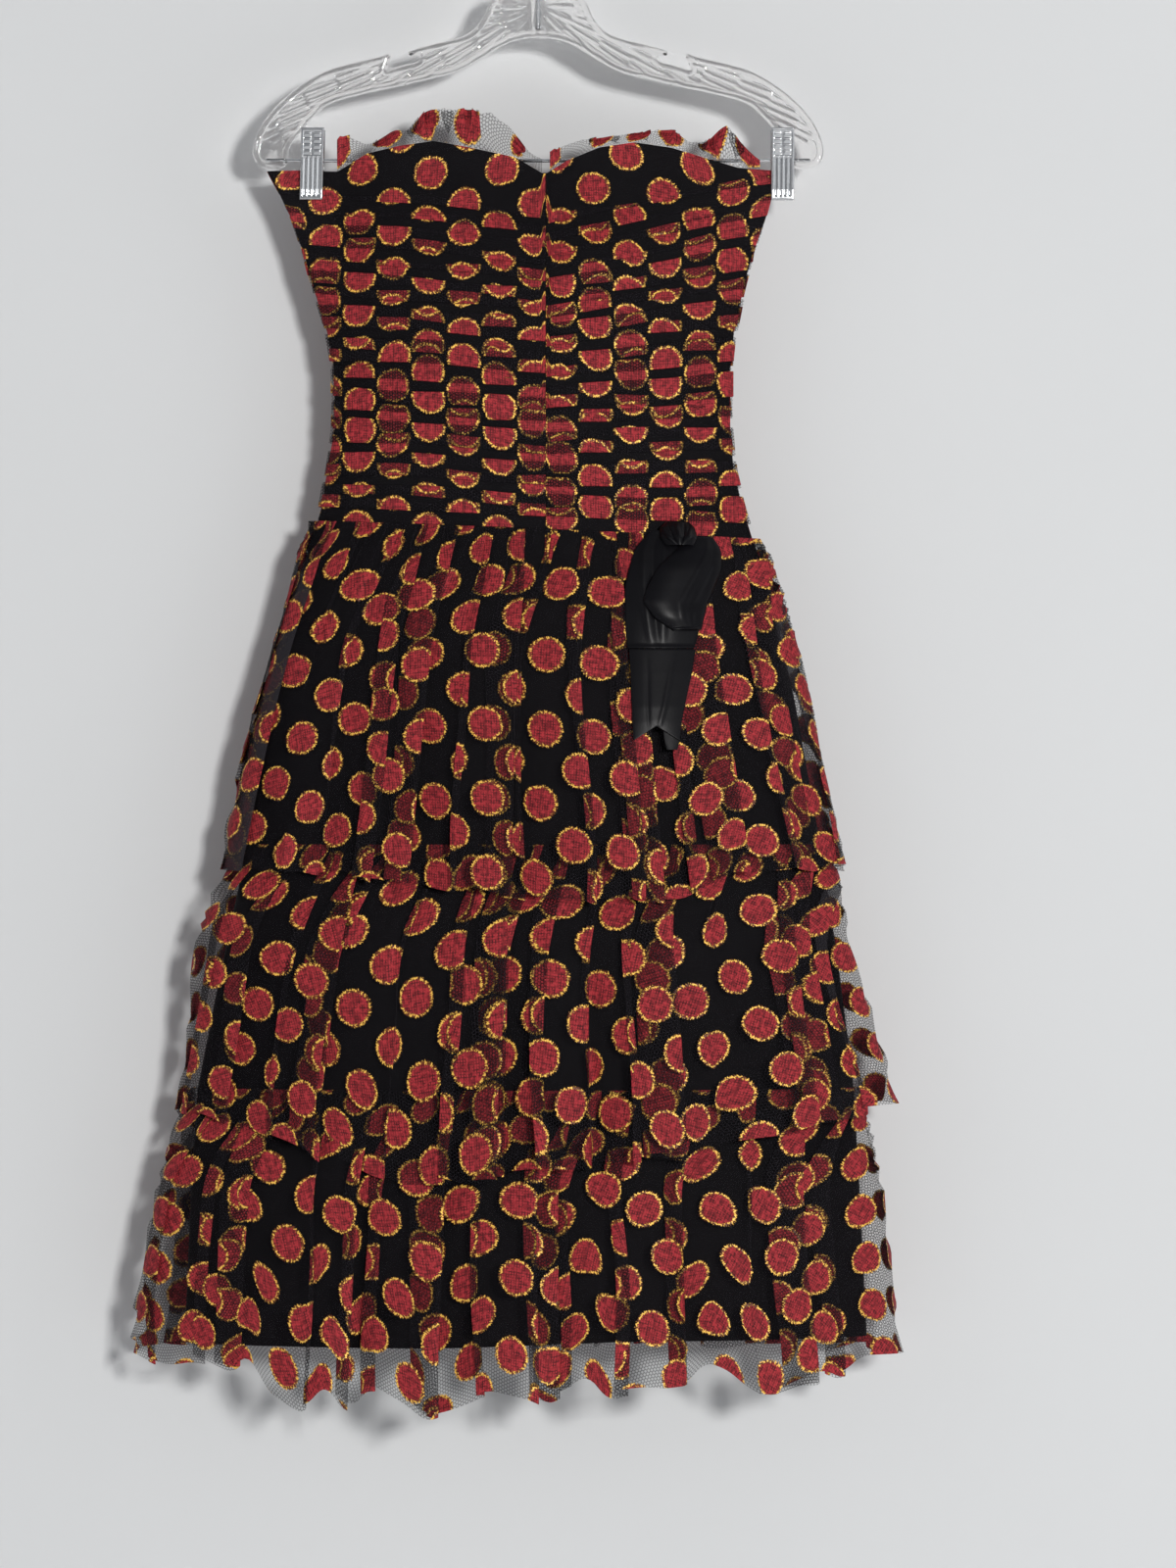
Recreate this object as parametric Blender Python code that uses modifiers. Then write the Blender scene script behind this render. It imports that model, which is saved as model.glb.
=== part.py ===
"""Strapless party dress of dotted net, hung by two clips from a clear hanger.

Metres, +Z up, +X to the viewer's right, -Y in front. The origin is the top of the inside of the
hook, where a rail carries it. Cloth is built as walls between an inner and an outer surface. Every
cloth surface starts from one flattened tube, the hollow of the dress, and is moved outwards from it.
"""

import math

import bmesh
import bpy
import numpy as np
from mathutils import Vector

MM = 0.001

# The hollow of the dress, by height. Left and right are its edges, front and back its depths.
HOLLOW_COLUMNS = ("height", "left", "right", "front", "back")
HOLLOW = (
    (-199, -205, 184, 11, 9),
    (-215, -196, 178, 14, 9),
    (-232, -188, 173, 17, 10),
    (-262, -177, 162, 22, 13),
    (-292, -168, 154, 25, 15),
    (-321, -159, 148, 27, 16),
    (-351, -154, 145, 27, 16),
    (-395, -154, 145, 25, 16),
    (-425, -159, 148, 25, 17),
    (-455, -164, 155, 26, 18),
    (-484, -173, 164, 28, 19),
    (-514, -179, 175, 31, 20),
    (-603, -200, 194, 38, 24),
    (-726, -223, 216, 48, 28),
    (-811, -241, 228, 53, 32),
    (-892, -257, 238, 57, 34),
    (-960, -262, 242, 60, 36),
    (-1080, -267, 248, 63, 38),
)
LENS_POWER = 1.35
LENS_LEAST = 1e-6
EDGE_SPLIT = 0.15 * MM

SETTLE_PASSES = 3
SEAM_GAP = 0.3 * MM
LAYER_GAP = 0.5 * MM
BODICE_WALL = 1.2 * MM
SKIRT_WALL = 1.2 * MM

# The waist seam runs a little downhill to the right.
WAIST_HEIGHT = -470 * MM
WAIST_FALL = 0.041

# Neckline of the front, by distance along X. The back's is straight between its corners.
NECKLINE_COLUMNS = ("across", "height")
NECKLINE = (
    (-205, -198.5), (-180, -198), (-152, -199), (-129, -185.5), (-104, -180), (-79, -176.5),
    (-54, -181), (-17, -189), (5, -202), (22, -191.5), (46, -181.5), (73, -177.5),
    (101, -181.5), (124, -188.5), (151, -196), (184, -198.5),
)
BACK_NECK_HEIGHT = -199 * MM
FRONT_SEAM_X = 6 * MM
BACK_SEAM_X = -4 * MM

PLEATS = 19
PLEAT_HEIGHT = 2 * MM
PLEAT_LIP = 0.86
PANEL_COLUMNS = 6
PANEL_SPREAD = 1.15
SEAM_FADE = 8 * MM

# Clips, by the middle of each along the bar.
CLIP_X = (-171 * MM, 185 * MM)
CLIP_WIDTH = 17.5 * MM
CLIP_TOP = -166.5 * MM
CLIP_FOOT = -220.5 * MM
CLIP_PLATE = 1.4 * MM
CLIP_JAW = 8 * MM
CLIP_HALF_GAP_TOP = 11 * MM
CLIP_REACH_ACROSS = 30 * MM
CLIP_REACH_DOWN = 50 * MM
CLIP_PRESS = 0.94
CLIP_CREASE = 0.85
CLIP_GRIP = 3 * MM
CLIP_MARGIN = 1 * MM
CLIP_JAW_OPEN = 0.5 * MM
CLIP_EDGE_ROUND = 0.4 * MM

RING_POINTS = 96
FINE_TURNS = 2001
MIDDLING_HEIGHT = -860 * MM
LINING_HEM = -1080 * MM
LINING_ROWS = (-484, -540, -630, -740, -880, -1080)

# The three tiers: where each is sewn on, how far its hem stands off in front and behind, and its
# gathers and folds round the ring.
TIER_COLUMNS = ("name", "top", "flare_front", "flare_back", "gathers", "folds", "shift")
TIERS = (
    ("tier_top", -470, 26, 16, 24, 12, 0.15),
    ("tier_middle", -708, 30, 18, 24, 12, 0.55),
    ("tier_bottom", -892, 34, 20, 24, 12, 0.8),
)
TIER_ROWS = (0.0, 0.08, 0.24, 0.5, 0.76, 1.0)
GATHER_DEPTH = 3.2 * MM
FOLD_SHARE = 0.42
FLARE_POWER = 0.9
FOLD_DRIFT = ((0.22, 3, 1), (0.12, 5, 2))

# Outer edges of the tiers as seen from the front, by height.
EDGE_COLUMNS = ("height", "left", "right")
TIER_EDGES = {
    "tier_top": (
        (-470, -174, 164), (-484, -182, 174), (-514, -188, 186), (-544, -196, 194),
        (-603, -214, 208), (-663, -229, 220), (-726, -243, 235),
    ),
    "tier_middle": (
        (-708, -226, 219), (-726, -236, 226), (-744, -248, 231), (-781, -260, 237),
        (-811, -264, 247), (-841, -266, 256), (-870, -269, 265), (-905, -276, 275),
    ),
    "tier_bottom": (
        (-892, -262, 243), (-905, -270, 248), (-930, -281, 255), (-989, -295, 266),
        (-1048, -308, 272), (-1092, -312, 281),
    ),
}

# Heights of the tiers' hems along the front, by distance along X.
HEM_COLUMNS = ("across", "tier_top", "tier_middle", "tier_bottom")
HEM_TAKES_OVER = 3.0
HEMS = (
    (-300, -726, -905, -1093),
    (-230, -726, -916, -1094),
    (-170, -729, -934, -1124),
    (-110, -734, -958, -1124),
    (-50, -741, -959, -1122),
    (0, -748, -948, -1118),
    (50, -749, -945, -1110),
    (110, -748, -938, -1108),
    (150, -727, -930, -1106),
    (190, -726, -921, -1110),
    (240, -726, -910, -1098),
    (300, -726, -904, -1091),
)

# Frill that stands on the front neckline, by distance along X.
FRILL_COLUMNS = ("across", "height")
FRILL_LEFT = (
    (-152, 22), (-146, 24), (-129, 5), (-108, 13), (-100, 8), (-85, 23), (-51, 27), (-33, 28),
    (-18, 18), (-8, 10), (3, 9),
)
FRILL_RIGHT = (
    (9, 16), (13, 14), (30, 10), (46, 7), (76, 6), (92, 12), (105, 14), (112, 8), (126, 10),
    (139, 27), (146, 28), (152, 20), (165, 8), (168, 5),
)
FRILL_WALL = 1.2 * MM
FRILL_LEAN = 0.42
FRILL_SWAY = 0.3
FRILL_WAVES = 9
FRILL_DRIFT = 0.3
FRILL_STEPS = 36
FRILL_ROWS = (0.0, 0.5, 1.0)

# Hanger, right half of its outline from the top of the neck round to the middle of the arch.
HANGER_THICK = 10 * MM
HANGER_OUTLINE = (
    (8, -57), (20, -59), (30, -63), (36, -69), (42, -84), (50, -93), (60, -98), (82, -103),
    (98, -107.5), (98, -111.5), (90, -111), (90, -116), (104, -118.5), (116, -123), (115, -119),
    (110, -109), (121, -112.5), (130, -114.5), (145, -118), (161, -122.5), (177, -131.5),
    (192, -143), (205, -156.5), (213, -170), (216.5, -182), (215, -191), (208, -197),
    (190, -197), (189, -181), (183, -173), (176, -164), (167.5, -154.5), (159, -147.5),
    (145, -143), (124, -138), (106, -134.5), (88, -130), (67.5, -125.5), (56, -121), (46, -115),
    (34, -107.5), (21.5, -100.5), (8, -97.5),
)
HANGER_EDGE_ROUND = 1.2 * MM
HANGER_EDGE_ANGLE = math.radians(60)

HOOK_WIRE = 1.75 * MM
HOOK_INNER = 19 * MM
HOOK_TIP_ANGLE = 205
HOOK_TURN_ANGLE = -28
HOOK_TURN_STEPS = 22
HOOK_NECK_STEPS = 6
HOOK_NECK_DROP = 9 * MM
HOOK_PULL = (0.55, 0.95)
HOOK_STRAIGHT = 8 * MM
HOOK_STEM_FOOT = -90 * MM
SOCKET_TOP = -50 * MM
SOCKET_PLAY = 0.35 * MM
SOCKET_DEPTH = 0.7 * MM

BAR_RADIUS = 1.4 * MM
BAR_HEIGHT = -190.5 * MM
BAR_HALF = 205 * MM
BAR_HOLE_START = 150 * MM
SLEEVE_HALF = 4.2 * MM
SLEEVE_RADIUS = 6 * MM
SLEEVE_SIDES = 24
ROD_SIDES = 16
WIRE_ROUNDING = 2
JOIN_DISTANCE = 1e-6

# Satin flower on the front of the skirt, by height: the edges, how far each lifts off the cloth
# behind the flower, and how far the middle swells forward of them.
PETAL_COLUMNS = ("height", "left", "right", "lift_left", "lift_right", "swell")
FLOWER = {
    "flower_tail_back": (
        (-622, 94, 107, 0.5, 0.5, 0.5), (-630, 95, 106, 0.5, 0.5, 0.5),
        (-637, 97, 104, 0.5, 0.5, 0.5),
    ),
    "flower_tail_front": (
        (-561.4, 69, 118, 0.6, 0.6, 3.5), (-580, 70, 115, 1.2, 1.2, 3),
        (-605, 71, 109.5, 2.6, 2.6, 2.5), (-618, 71.5, 107, 3, 3, 2), (-630, 72, 106, 3, 3, 1.5),
    ),
    "flower_petal_under": (
        (-472, 86, 104, 0.5, 0.5, 0.6), (-477, 81, 120, 0.5, 0.5, 1.5),
        (-486, 73.5, 124, 0.5, 0.5, 4), (-500, 69.5, 125, 0.5, 0.5, 6),
        (-515, 66, 124, 0.5, 0.5, 6.5), (-533, 66, 122, 0.5, 0.5, 6.5),
        (-550, 66.5, 120, 0.5, 0.5, 5.5), (-561, 68, 117, 0.5, 0.5, 4),
    ),
    "flower_petal_over": (
        (-477, 116, 131, 4, 0.6, 1), (-486, 106, 137, 7, 0.6, 4), (-500, 91, 138, 9, 0.6, 7),
        (-515, 83, 132, 9, 0.6, 8), (-526, 79.5, 127, 9, 0.8, 8), (-538, 89, 124, 9.4, 2.8, 6),
        (-547, 103, 122, 8.6, 3, 3),
    ),
    "flower_knot": (
        (-466, 97, 113, 0.6, 0.6, 5), (-470, 93, 117, 3, 3, 6), (-477, 93, 119, 5, 7.6, 7),
        (-483, 97, 116, 6.4, 10, 5),
    ),
}
# How far the middle of each piece's lower edge is cut up into it.
NOTCHES = {"flower_tail_front": 11 * MM}
FLOWER_BACKING = (63 * MM, 141 * MM)
FLOWER_REACH = 9 * MM
FINER_STEPS = 6
SEAT_STEPS = 16
SEAT_SQUARE = 2 * MM
SATIN_WALL = 1.6 * MM
PETAL_ACROSS = 8
PETAL_CROWN = 0.7

# Zip in the centre back seam, closed, with its slider at the top.
ZIP_HALF_WIDTH = 2.4 * MM
ZIP_ROOM = 2.8 * MM
ZIP_STEPS = 10
ZIP_TOP_DROP = 1 * MM
SLIDER_SIZE = (8 * MM, 2.4 * MM, 12 * MM)
SLIDER_HEIGHT = -208 * MM
SLIDER_PLAY = 0.35 * MM
SLIDER_SAMPLES = 9
BAIL_WIDTH = 1.6 * MM
BAIL_BAR = 1.0 * MM
BAIL_LONG = 7 * MM
BAIL_HIGH = 3.6 * MM
BAIL_SINK = 0.5 * MM
PIN_UP = 1.3 * MM
PIN_DOWN = 1.2 * MM
TAB_THICK = 1.2 * MM
TAB_WIDTH = 6 * MM
TAB_LENGTH = 24 * MM
TAB_WINDOW_HALF = 1.3 * MM
TAB_WINDOW_LONG = 6.2 * MM
TAB_WINDOW_DEEP = 2.4 * MM

# Colours are linear: red, green, blue, then roughness and metallic.
FINISH_COLUMNS = ("red", "green", "blue", "roughness", "metallic")
FINISHES = {
    "dotted_net": (0.075, 0.012, 0.012, 0.8, 0.0),
    "black_lining": (0.008, 0.008, 0.01, 0.75, 0.0),
    "black_satin": (0.01, 0.01, 0.012, 0.35, 0.0),
    "clear_plastic": (0.8, 0.82, 0.82, 0.08, 0.0),
    "bright_steel": (0.72, 0.74, 0.76, 0.22, 1.0),
    "zip_nylon": (0.012, 0.012, 0.014, 0.5, 0.0),
    "zip_metal": (0.03, 0.03, 0.032, 0.35, 1.0),
}


def clear_scene():
    """Leaves an empty file to build in."""
    for obj in list(bpy.data.objects):
        bpy.data.objects.remove(obj)


def new_collection(name):
    collection = bpy.data.collections.new(name)
    bpy.context.scene.collection.children.link(collection)
    return collection


def finish(name):
    """The material of that name, made once."""
    found = bpy.data.materials.get(name)
    if found:
        return found
    values = dict(zip(FINISH_COLUMNS, FINISHES[name]))
    colour = (values["red"], values["green"], values["blue"], 1.0)
    material = bpy.data.materials.new(name)
    material.use_nodes = True
    shader = material.node_tree.nodes["Principled BSDF"]
    shader.inputs["Base Color"].default_value = colour
    shader.inputs["Roughness"].default_value = values["roughness"]
    shader.inputs["Metallic"].default_value = values["metallic"]
    material.diffuse_color = colour
    return material


def place(name, mesh, material, collection):
    """An object for the mesh, with its material, in the collection."""
    obj = bpy.data.objects.new(name, mesh)
    mesh.materials.clear()
    mesh.materials.append(finish(material))
    collection.objects.link(obj)
    return obj


def column(table, names, name):
    return np.array([row[names.index(name)] for row in table], float)


def by_height(height, name):
    """One column of the hollow, at these heights in metres."""
    heights = column(HOLLOW, HOLLOW_COLUMNS, "height")[::-1] * MM
    values = column(HOLLOW, HOLLOW_COLUMNS, name)[::-1] * MM
    return np.interp(height, heights, values)


def waist_at(x):
    return WAIST_HEIGHT - WAIST_FALL * x


def neckline_at(x):
    across = column(NECKLINE, NECKLINE_COLUMNS, "across") * MM
    heights = column(NECKLINE, NECKLINE_COLUMNS, "height") * MM
    return np.interp(x, across, heights)


def clip_press(x, z):
    """How far the cloth is pressed flat by a clip, from 0 to 1."""
    below = np.maximum(0.0, CLIP_FOOT - CLIP_GRIP - z) / CLIP_REACH_DOWN
    pressed = np.zeros_like(np.asarray(x, float) + np.asarray(z, float))
    for middle in CLIP_X:
        beside = np.maximum(0.0, np.abs(x - middle) - CLIP_WIDTH / 2) / CLIP_REACH_ACROSS
        pressed = np.maximum(pressed, np.exp(-(beside**2) - below**2))
    return pressed


def lens(turn, z):
    """Points and outward normals of the hollow's section.

    Turn goes from 0 at the right edge, over the back, to half a turn at the left edge, and on over
    the front. The section is a lens: its depth is that side's depth times the sine to LENS_POWER.
    """
    left = by_height(z, "left")
    right = by_height(z, "right")
    middle = (left + right) / 2
    half = (right - left) / 2
    sine = np.sin(turn)
    side = np.where(sine >= 0, 1.0, -1.0)
    depth = np.where(sine >= 0, by_height(z, "back"), by_height(z, "front"))
    across = middle + half * np.cos(turn)
    press = clip_press(across, z)
    depth = depth * (1.0 - CLIP_PRESS * press)
    thin = np.maximum(np.abs(sine), LENS_LEAST)
    points_y = side * depth * thin**LENS_POWER
    normal_x = depth * LENS_POWER * thin ** (LENS_POWER - 1.0) * np.cos(turn)
    normal_y = half * sine
    length = np.maximum(np.hypot(normal_x, normal_y), LENS_LEAST)
    return across, points_y, normal_x / length, normal_y / length


def even_turns(count):
    """Turns that split a middling section of the skirt into stretches of equal length, the same
    number behind as in front, so that both edges are among them."""
    turns = []
    for first in (0.0, math.pi):
        fine = np.linspace(first, first + math.pi, FINE_TURNS)
        x, y, _, _ = lens(fine, np.full_like(fine, MIDDLING_HEIGHT))
        run = np.concatenate([[0.0], np.cumsum(np.hypot(np.diff(x), np.diff(y)))])
        turns.append(np.interp(np.arange(count // 2) / (count // 2) * run[-1], run, fine))
    return np.concatenate(turns)


def wall_mesh(name, inner, outer, closed):
    """A mesh for the wall between two grids of points, rows by columns. Closed joins the last
    column to the first. Both sides are split along the same diagonals, so the wall is even."""
    rows, columns = inner.shape[:2]
    mesh = bpy.data.meshes.new(name)
    built = bmesh.new()
    grids = []
    for grid in (outer, inner):
        grids.append([[built.verts.new(grid[r, c]) for c in range(columns)] for r in range(rows)])
    faces_across = columns if closed else columns - 1
    for r in range(rows - 1):
        for c in range(faces_across):
            d = (c + 1) % columns
            for grid in grids:
                built.faces.new((grid[r][c], grid[r + 1][c], grid[r + 1][d]))
                built.faces.new((grid[r][c], grid[r + 1][d], grid[r][d]))
    front, back = grids
    for r in (0, rows - 1):
        for c in range(faces_across):
            d = (c + 1) % columns
            built.faces.new((front[r][c], front[r][d], back[r][d], back[r][c]))
    if not closed:
        for c in (0, columns - 1):
            for r in range(rows - 1):
                built.faces.new((front[r][c], front[r + 1][c], back[r + 1][c], back[r][c]))
    bmesh.ops.recalc_face_normals(built, faces=built.faces)
    built.to_mesh(mesh)
    built.free()
    return mesh


def stacked(x, y, z):
    return np.stack([x, y, z], axis=-1)


def pleat_rows():
    """Share of the way down, and whether the cloth stands proud, for each row of a panel."""
    rows = [(0.0, 0.0)]
    for pleat in range(PLEATS):
        rows.append(((pleat + PLEAT_LIP) / PLEATS, 1.0))
        rows.append(((pleat + 1.0) / PLEATS, 0.0))
    return rows


def turn_at(x, z, front):
    """The turn of the hollow's section at which it has that x."""
    left = by_height(z, "left")
    right = by_height(z, "right")
    cosine = np.clip((x - (left + right) / 2) / ((right - left) / 2), -1.0, 1.0)
    return np.arccos(cosine) * (-1.0 if front else 1.0)


def panel_grids(front, side):
    """Inner and outer points of a bodice panel, from its side seam to its centre seam. The pleats
    follow the neckline at the top and turn into the line of the waist."""
    seam_x = (FRONT_SEAM_X if front else BACK_SEAM_X) + side * (SEAM_GAP / 2 if front else ZIP_ROOM)
    reach = np.linspace(0.0, 1.0, PANEL_COLUMNS + 1) ** PANEL_SPREAD
    inner = []
    outer = []
    for share, proud in pleat_rows():
        z = np.full(len(reach), BACK_NECK_HEIGHT)
        for _ in range(SETTLE_PASSES):
            edge = by_height(z, "right" if side > 0 else "left")
            x = edge + (seam_x - edge) * reach
            rise = neckline_at(x) - BACK_NECK_HEIGHT if front else np.zeros_like(x)
            top = BACK_NECK_HEIGHT + rise * (1.0 - share)
            z = top + (waist_at(x) - top) * share
        px, py, nx, ny = lens(turn_at(x, z, front), z)
        py = np.minimum(py, -EDGE_SPLIT) if front else np.maximum(py, EDGE_SPLIT)
        nx[0] = side
        ny[0] = 0.0
        fade = 1.0 if front else np.clip(np.abs(x - seam_x) / SEAM_FADE, 0.0, 1.0)
        height = PLEAT_HEIGHT * proud * fade * (1.0 - CLIP_CREASE * clip_press(x, z))
        wall = BODICE_WALL + height
        inner.append(stacked(px, py, z))
        outer.append(stacked(px + nx * wall, py + ny * wall, z))
    return np.array(inner), np.array(outer)


def bodice(collection):
    """The four gathered panels. Returns their outer points by name."""
    outsides = {}
    for front, face in ((True, "front"), (False, "back")):
        for side, hand in ((-1, "left"), (1, "right")):
            name = f"bodice_{face}_{hand}"
            inner, outer = panel_grids(front, side)
            place(name, wall_mesh(name, inner, outer, False), "dotted_net", collection)
            outsides[name] = outer
    return outsides


def lining(collection):
    """The plain black underskirt, from the waist seam to its hem."""
    turns = even_turns(RING_POINTS)[::2]
    across, _, _, _ = lens(turns, np.full_like(turns, WAIST_HEIGHT))
    levels = [waist_at(across) - SEAM_GAP]
    levels += [np.full_like(turns, height * MM) for height in LINING_ROWS]
    inner = []
    outer = []
    for z in levels:
        x, y, nx, ny = lens(turns, z)
        inner.append(stacked(x, y, z))
        outer.append(stacked(x + nx * SKIRT_WALL, y + ny * SKIRT_WALL, z))
    mesh = wall_mesh("lining", np.array(inner), np.array(outer), True)
    place("lining", mesh, "black_lining", collection)


def hem_at(x, turn, tier):
    """Height of a tier's hem. The back hangs level, the front as its column says."""
    across = column(HEMS, HEM_COLUMNS, "across") * MM
    heights = column(HEMS, HEM_COLUMNS, tier) * MM
    front = np.interp(x, across, heights)
    in_front = np.clip(-np.sin(turn) * HEM_TAKES_OVER, 0.0, 1.0)
    return heights[0] + (front - heights[0]) * in_front


def tier_names():
    return [row[TIER_COLUMNS.index("name")] for row in TIERS]


def tier_value(tier, name):
    return TIERS[tier_names().index(tier)][TIER_COLUMNS.index(name)]


def tier_edge(tier, z, name):
    table = TIER_EDGES[tier]
    heights = column(table, EDGE_COLUMNS, "height")[::-1] * MM
    return np.interp(z, heights, column(table, EDGE_COLUMNS, name)[::-1] * MM)


def tier_offset(tier, turn, along, share, z):
    """How far a tier's inner side stands off the hollow, share being the way down from 0 to 1.

    At the two sides it follows the tier's edges. In front and behind it is the flare times share
    to FLARE_POWER, in large folds, with fine gathers near the seam that fade towards the hem.
    """
    shift = tier_value(tier, "shift")
    level = np.maximum(z, LINING_HEM)
    right = tier_edge(tier, z, "right") - by_height(level, "right")
    left = by_height(level, "left") - tier_edge(tier, z, "left")
    sides = np.where(np.cos(turn) > 0, right, left) - SKIRT_WALL
    flare_front = tier_value(tier, "flare_front")
    flare_back = tier_value(tier, "flare_back")
    flare = np.where(np.sin(turn) > 0, flare_back, flare_front) * MM * share**FLARE_POWER
    drift = sum(
        size * np.sin(2 * math.pi * (waves * along + turns * shift))
        for size, waves, turns in FOLD_DRIFT
    )
    large = np.cos(2 * math.pi * (tier_value(tier, "folds") * along + drift + shift))
    small = 0.5 + 0.5 * np.cos(2 * math.pi * (tier_value(tier, "gathers") * along + shift))
    gathering = GATHER_DEPTH * small * (1.0 - share)
    faces = SKIRT_WALL + LAYER_GAP + flare * (1.0 + FOLD_SHARE * large) + gathering
    sideways = np.cos(turn) ** 2
    return sides * sideways + faces * (1.0 - sideways)


def tier_grid(tier, wall_out):
    """Points of one side of a tier, wall_out metres outside its inner side."""
    turns = even_turns(RING_POINTS)
    along = np.arange(RING_POINTS) / RING_POINTS
    top = tier_value(tier, "top") * MM
    rows = []
    for share in TIER_ROWS:
        z = np.full_like(turns, top)
        for _ in range(SETTLE_PASSES):
            x, _, _, _ = lens(turns, z)
            start = waist_at(x) - SEAM_GAP if tier == "tier_top" else np.full_like(x, top)
            z = start + (hem_at(x, turns, tier) - start) * share
        x, y, nx, ny = lens(turns, np.maximum(z, LINING_HEM))
        off = tier_offset(tier, turns, along, share, z) + wall_out
        rows.append(stacked(x + nx * off, y + ny * off, z))
    return np.array(rows)


def tiers(collection):
    """The three flounces. Returns their outer points by name."""
    outsides = {}
    for name in tier_names():
        inner = tier_grid(name, 0.0)
        outer = tier_grid(name, SKIRT_WALL)
        place(name, wall_mesh(name, inner, outer, True), "dotted_net", collection)
        outsides[name] = outer
    return outsides


def frill(name, table, panel_outside, collection):
    """Net frill that stands on a front panel's neckline, leaning forwards past the bar."""
    across = column(table, FRILL_COLUMNS, "across") * MM
    edge = panel_outside[0]
    edge = edge[np.argsort(edge[:, 0])]
    x = np.linspace(across[0], across[-1], FRILL_STEPS + 1)
    height = np.interp(x, across, column(table, FRILL_COLUMNS, "height") * MM)
    share = np.linspace(0.0, 1.0, FRILL_STEPS + 1)
    drift = FRILL_DRIFT * np.sin(4 * math.pi * share)
    wave = np.cos(2 * math.pi * (FRILL_WAVES * share + drift))
    foot_y = np.interp(x, edge[:, 0], edge[:, 1])
    foot_z = np.interp(x, edge[:, 0], edge[:, 2]) + SEAM_GAP
    grids = []
    for out in (0.0, FRILL_WALL):
        rows = []
        for up in FRILL_ROWS:
            rise = height * up
            y = foot_y - rise * FRILL_LEAN + rise * FRILL_SWAY * wave - out
            rows.append(stacked(x, y, foot_z + rise))
        grids.append(np.array(rows))
    place(name, wall_mesh(name, grids[0], grids[1], False), "dotted_net", collection)


def finer(grid, times):
    """The grid with that many steps in place of each of its own, along rows and columns."""
    for axis in (0, 1):
        count = grid.shape[axis]
        at = np.linspace(0, count - 1, (count - 1) * times + 1)
        low = np.minimum(at.astype(int), count - 2)
        part = (at - low).reshape([-1 if a == axis else 1 for a in range(3)])
        grid = np.take(grid, low, axis) * (1 - part) + np.take(grid, low + 1, axis) * part
    return grid


def backing_stand(outsides, z):
    """How far the cloth behind the flower stands off the hollow, at most, at about that height."""
    near_x, far_x = FLOWER_BACKING
    points = np.concatenate([finer(grid, FINER_STEPS).reshape(-1, 3) for grid in outsides])
    near = (points[:, 0] > near_x) & (points[:, 0] < far_x) & (points[:, 1] < 0)
    near &= np.abs(points[:, 2] - z) < FLOWER_REACH
    points = points[near]
    _, hollow_y, _, _ = lens(turn_at(points[:, 0], points[:, 2], True), points[:, 2])
    return float((hollow_y - points[:, 1]).max())


def satin_grid(name, outsides):
    """Back points of a satin piece: they lift off the cloth and swell forward in the middle."""
    table = FLOWER[name]
    share = np.linspace(0.0, 1.0, PETAL_ACROSS + 1)
    crown = np.sin(math.pi * share) ** PETAL_CROWN
    notch = NOTCHES.get(name, 0.0) * (1.0 - np.abs(2 * share - 1.0))
    rows = []
    for row in table:
        size = {column_name: value * MM for column_name, value in zip(PETAL_COLUMNS, row)}
        x = size["left"] + (size["right"] - size["left"]) * share
        z = np.full_like(x, size["height"])
        _, hollow_y, _, _ = lens(turn_at(x, z, True), z)
        lift = size["lift_left"] + (size["lift_right"] - size["lift_left"]) * share
        y = hollow_y - backing_stand(outsides, size["height"]) - lift - size["swell"] * crown
        rows.append(stacked(x, y, z + (notch if row is table[-1] else 0.0)))
    return np.array(rows)


def clearance(behind, before):
    """The least distance along Y between two sets of points, in small squares of X and Z."""
    nearest = {}
    for points, sign in ((behind, 1.0), (before, -1.0)):
        for x, y, z in points:
            square = (round(x / SEAT_SQUARE), round(z / SEAT_SQUARE))
            found = nearest.setdefault(square, {})
            found[sign] = min(found.get(sign, sign * y), sign * y)
    return min(found[1.0] + found[-1.0] for found in nearest.values() if len(found) == 2)


def flower(outsides, collection):
    """The satin pieces, pushed back together until the nearest of them meets the cloth."""
    backs = {name: satin_grid(name, outsides) for name in FLOWER}
    cloth = np.concatenate([finer(grid, SEAT_STEPS).reshape(-1, 3) for grid in outsides])
    near_x, far_x = FLOWER_BACKING
    low_z = min(grid[..., 2].min() for grid in backs.values())
    cloth = cloth[(cloth[:, 0] > near_x) & (cloth[:, 0] < far_x) & (cloth[:, 1] < 0)]
    cloth = cloth[cloth[:, 2] > low_z]
    satin = np.concatenate([finer(grid, SEAT_STEPS).reshape(-1, 3) for grid in backs.values()])
    push = clearance(cloth, satin) - SEAM_GAP
    for name, back in backs.items():
        inner = back + np.array([0.0, push, 0.0])
        outer = inner - np.array([0.0, SATIN_WALL, 0.0])
        place(name, wall_mesh(name, inner, outer, False), "black_satin", collection)


def solid_of_curve(curve_object, collection):
    """The curve's evaluated shape as a mesh object of the same name, and the curve removed."""
    bpy.context.view_layer.update()
    graph = bpy.context.evaluated_depsgraph_get()
    mesh = bpy.data.meshes.new_from_object(curve_object.evaluated_get(graph))
    name = curve_object.name
    matrix = curve_object.matrix_world.copy()
    bpy.data.objects.remove(curve_object)
    built = bmesh.new()
    built.from_mesh(mesh)
    bmesh.ops.remove_doubles(built, verts=built.verts, dist=JOIN_DISTANCE)
    built.to_mesh(mesh)
    built.free()
    mesh.name = name
    obj = bpy.data.objects.new(name, mesh)
    obj.matrix_world = matrix
    collection.objects.link(obj)
    return obj


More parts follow.
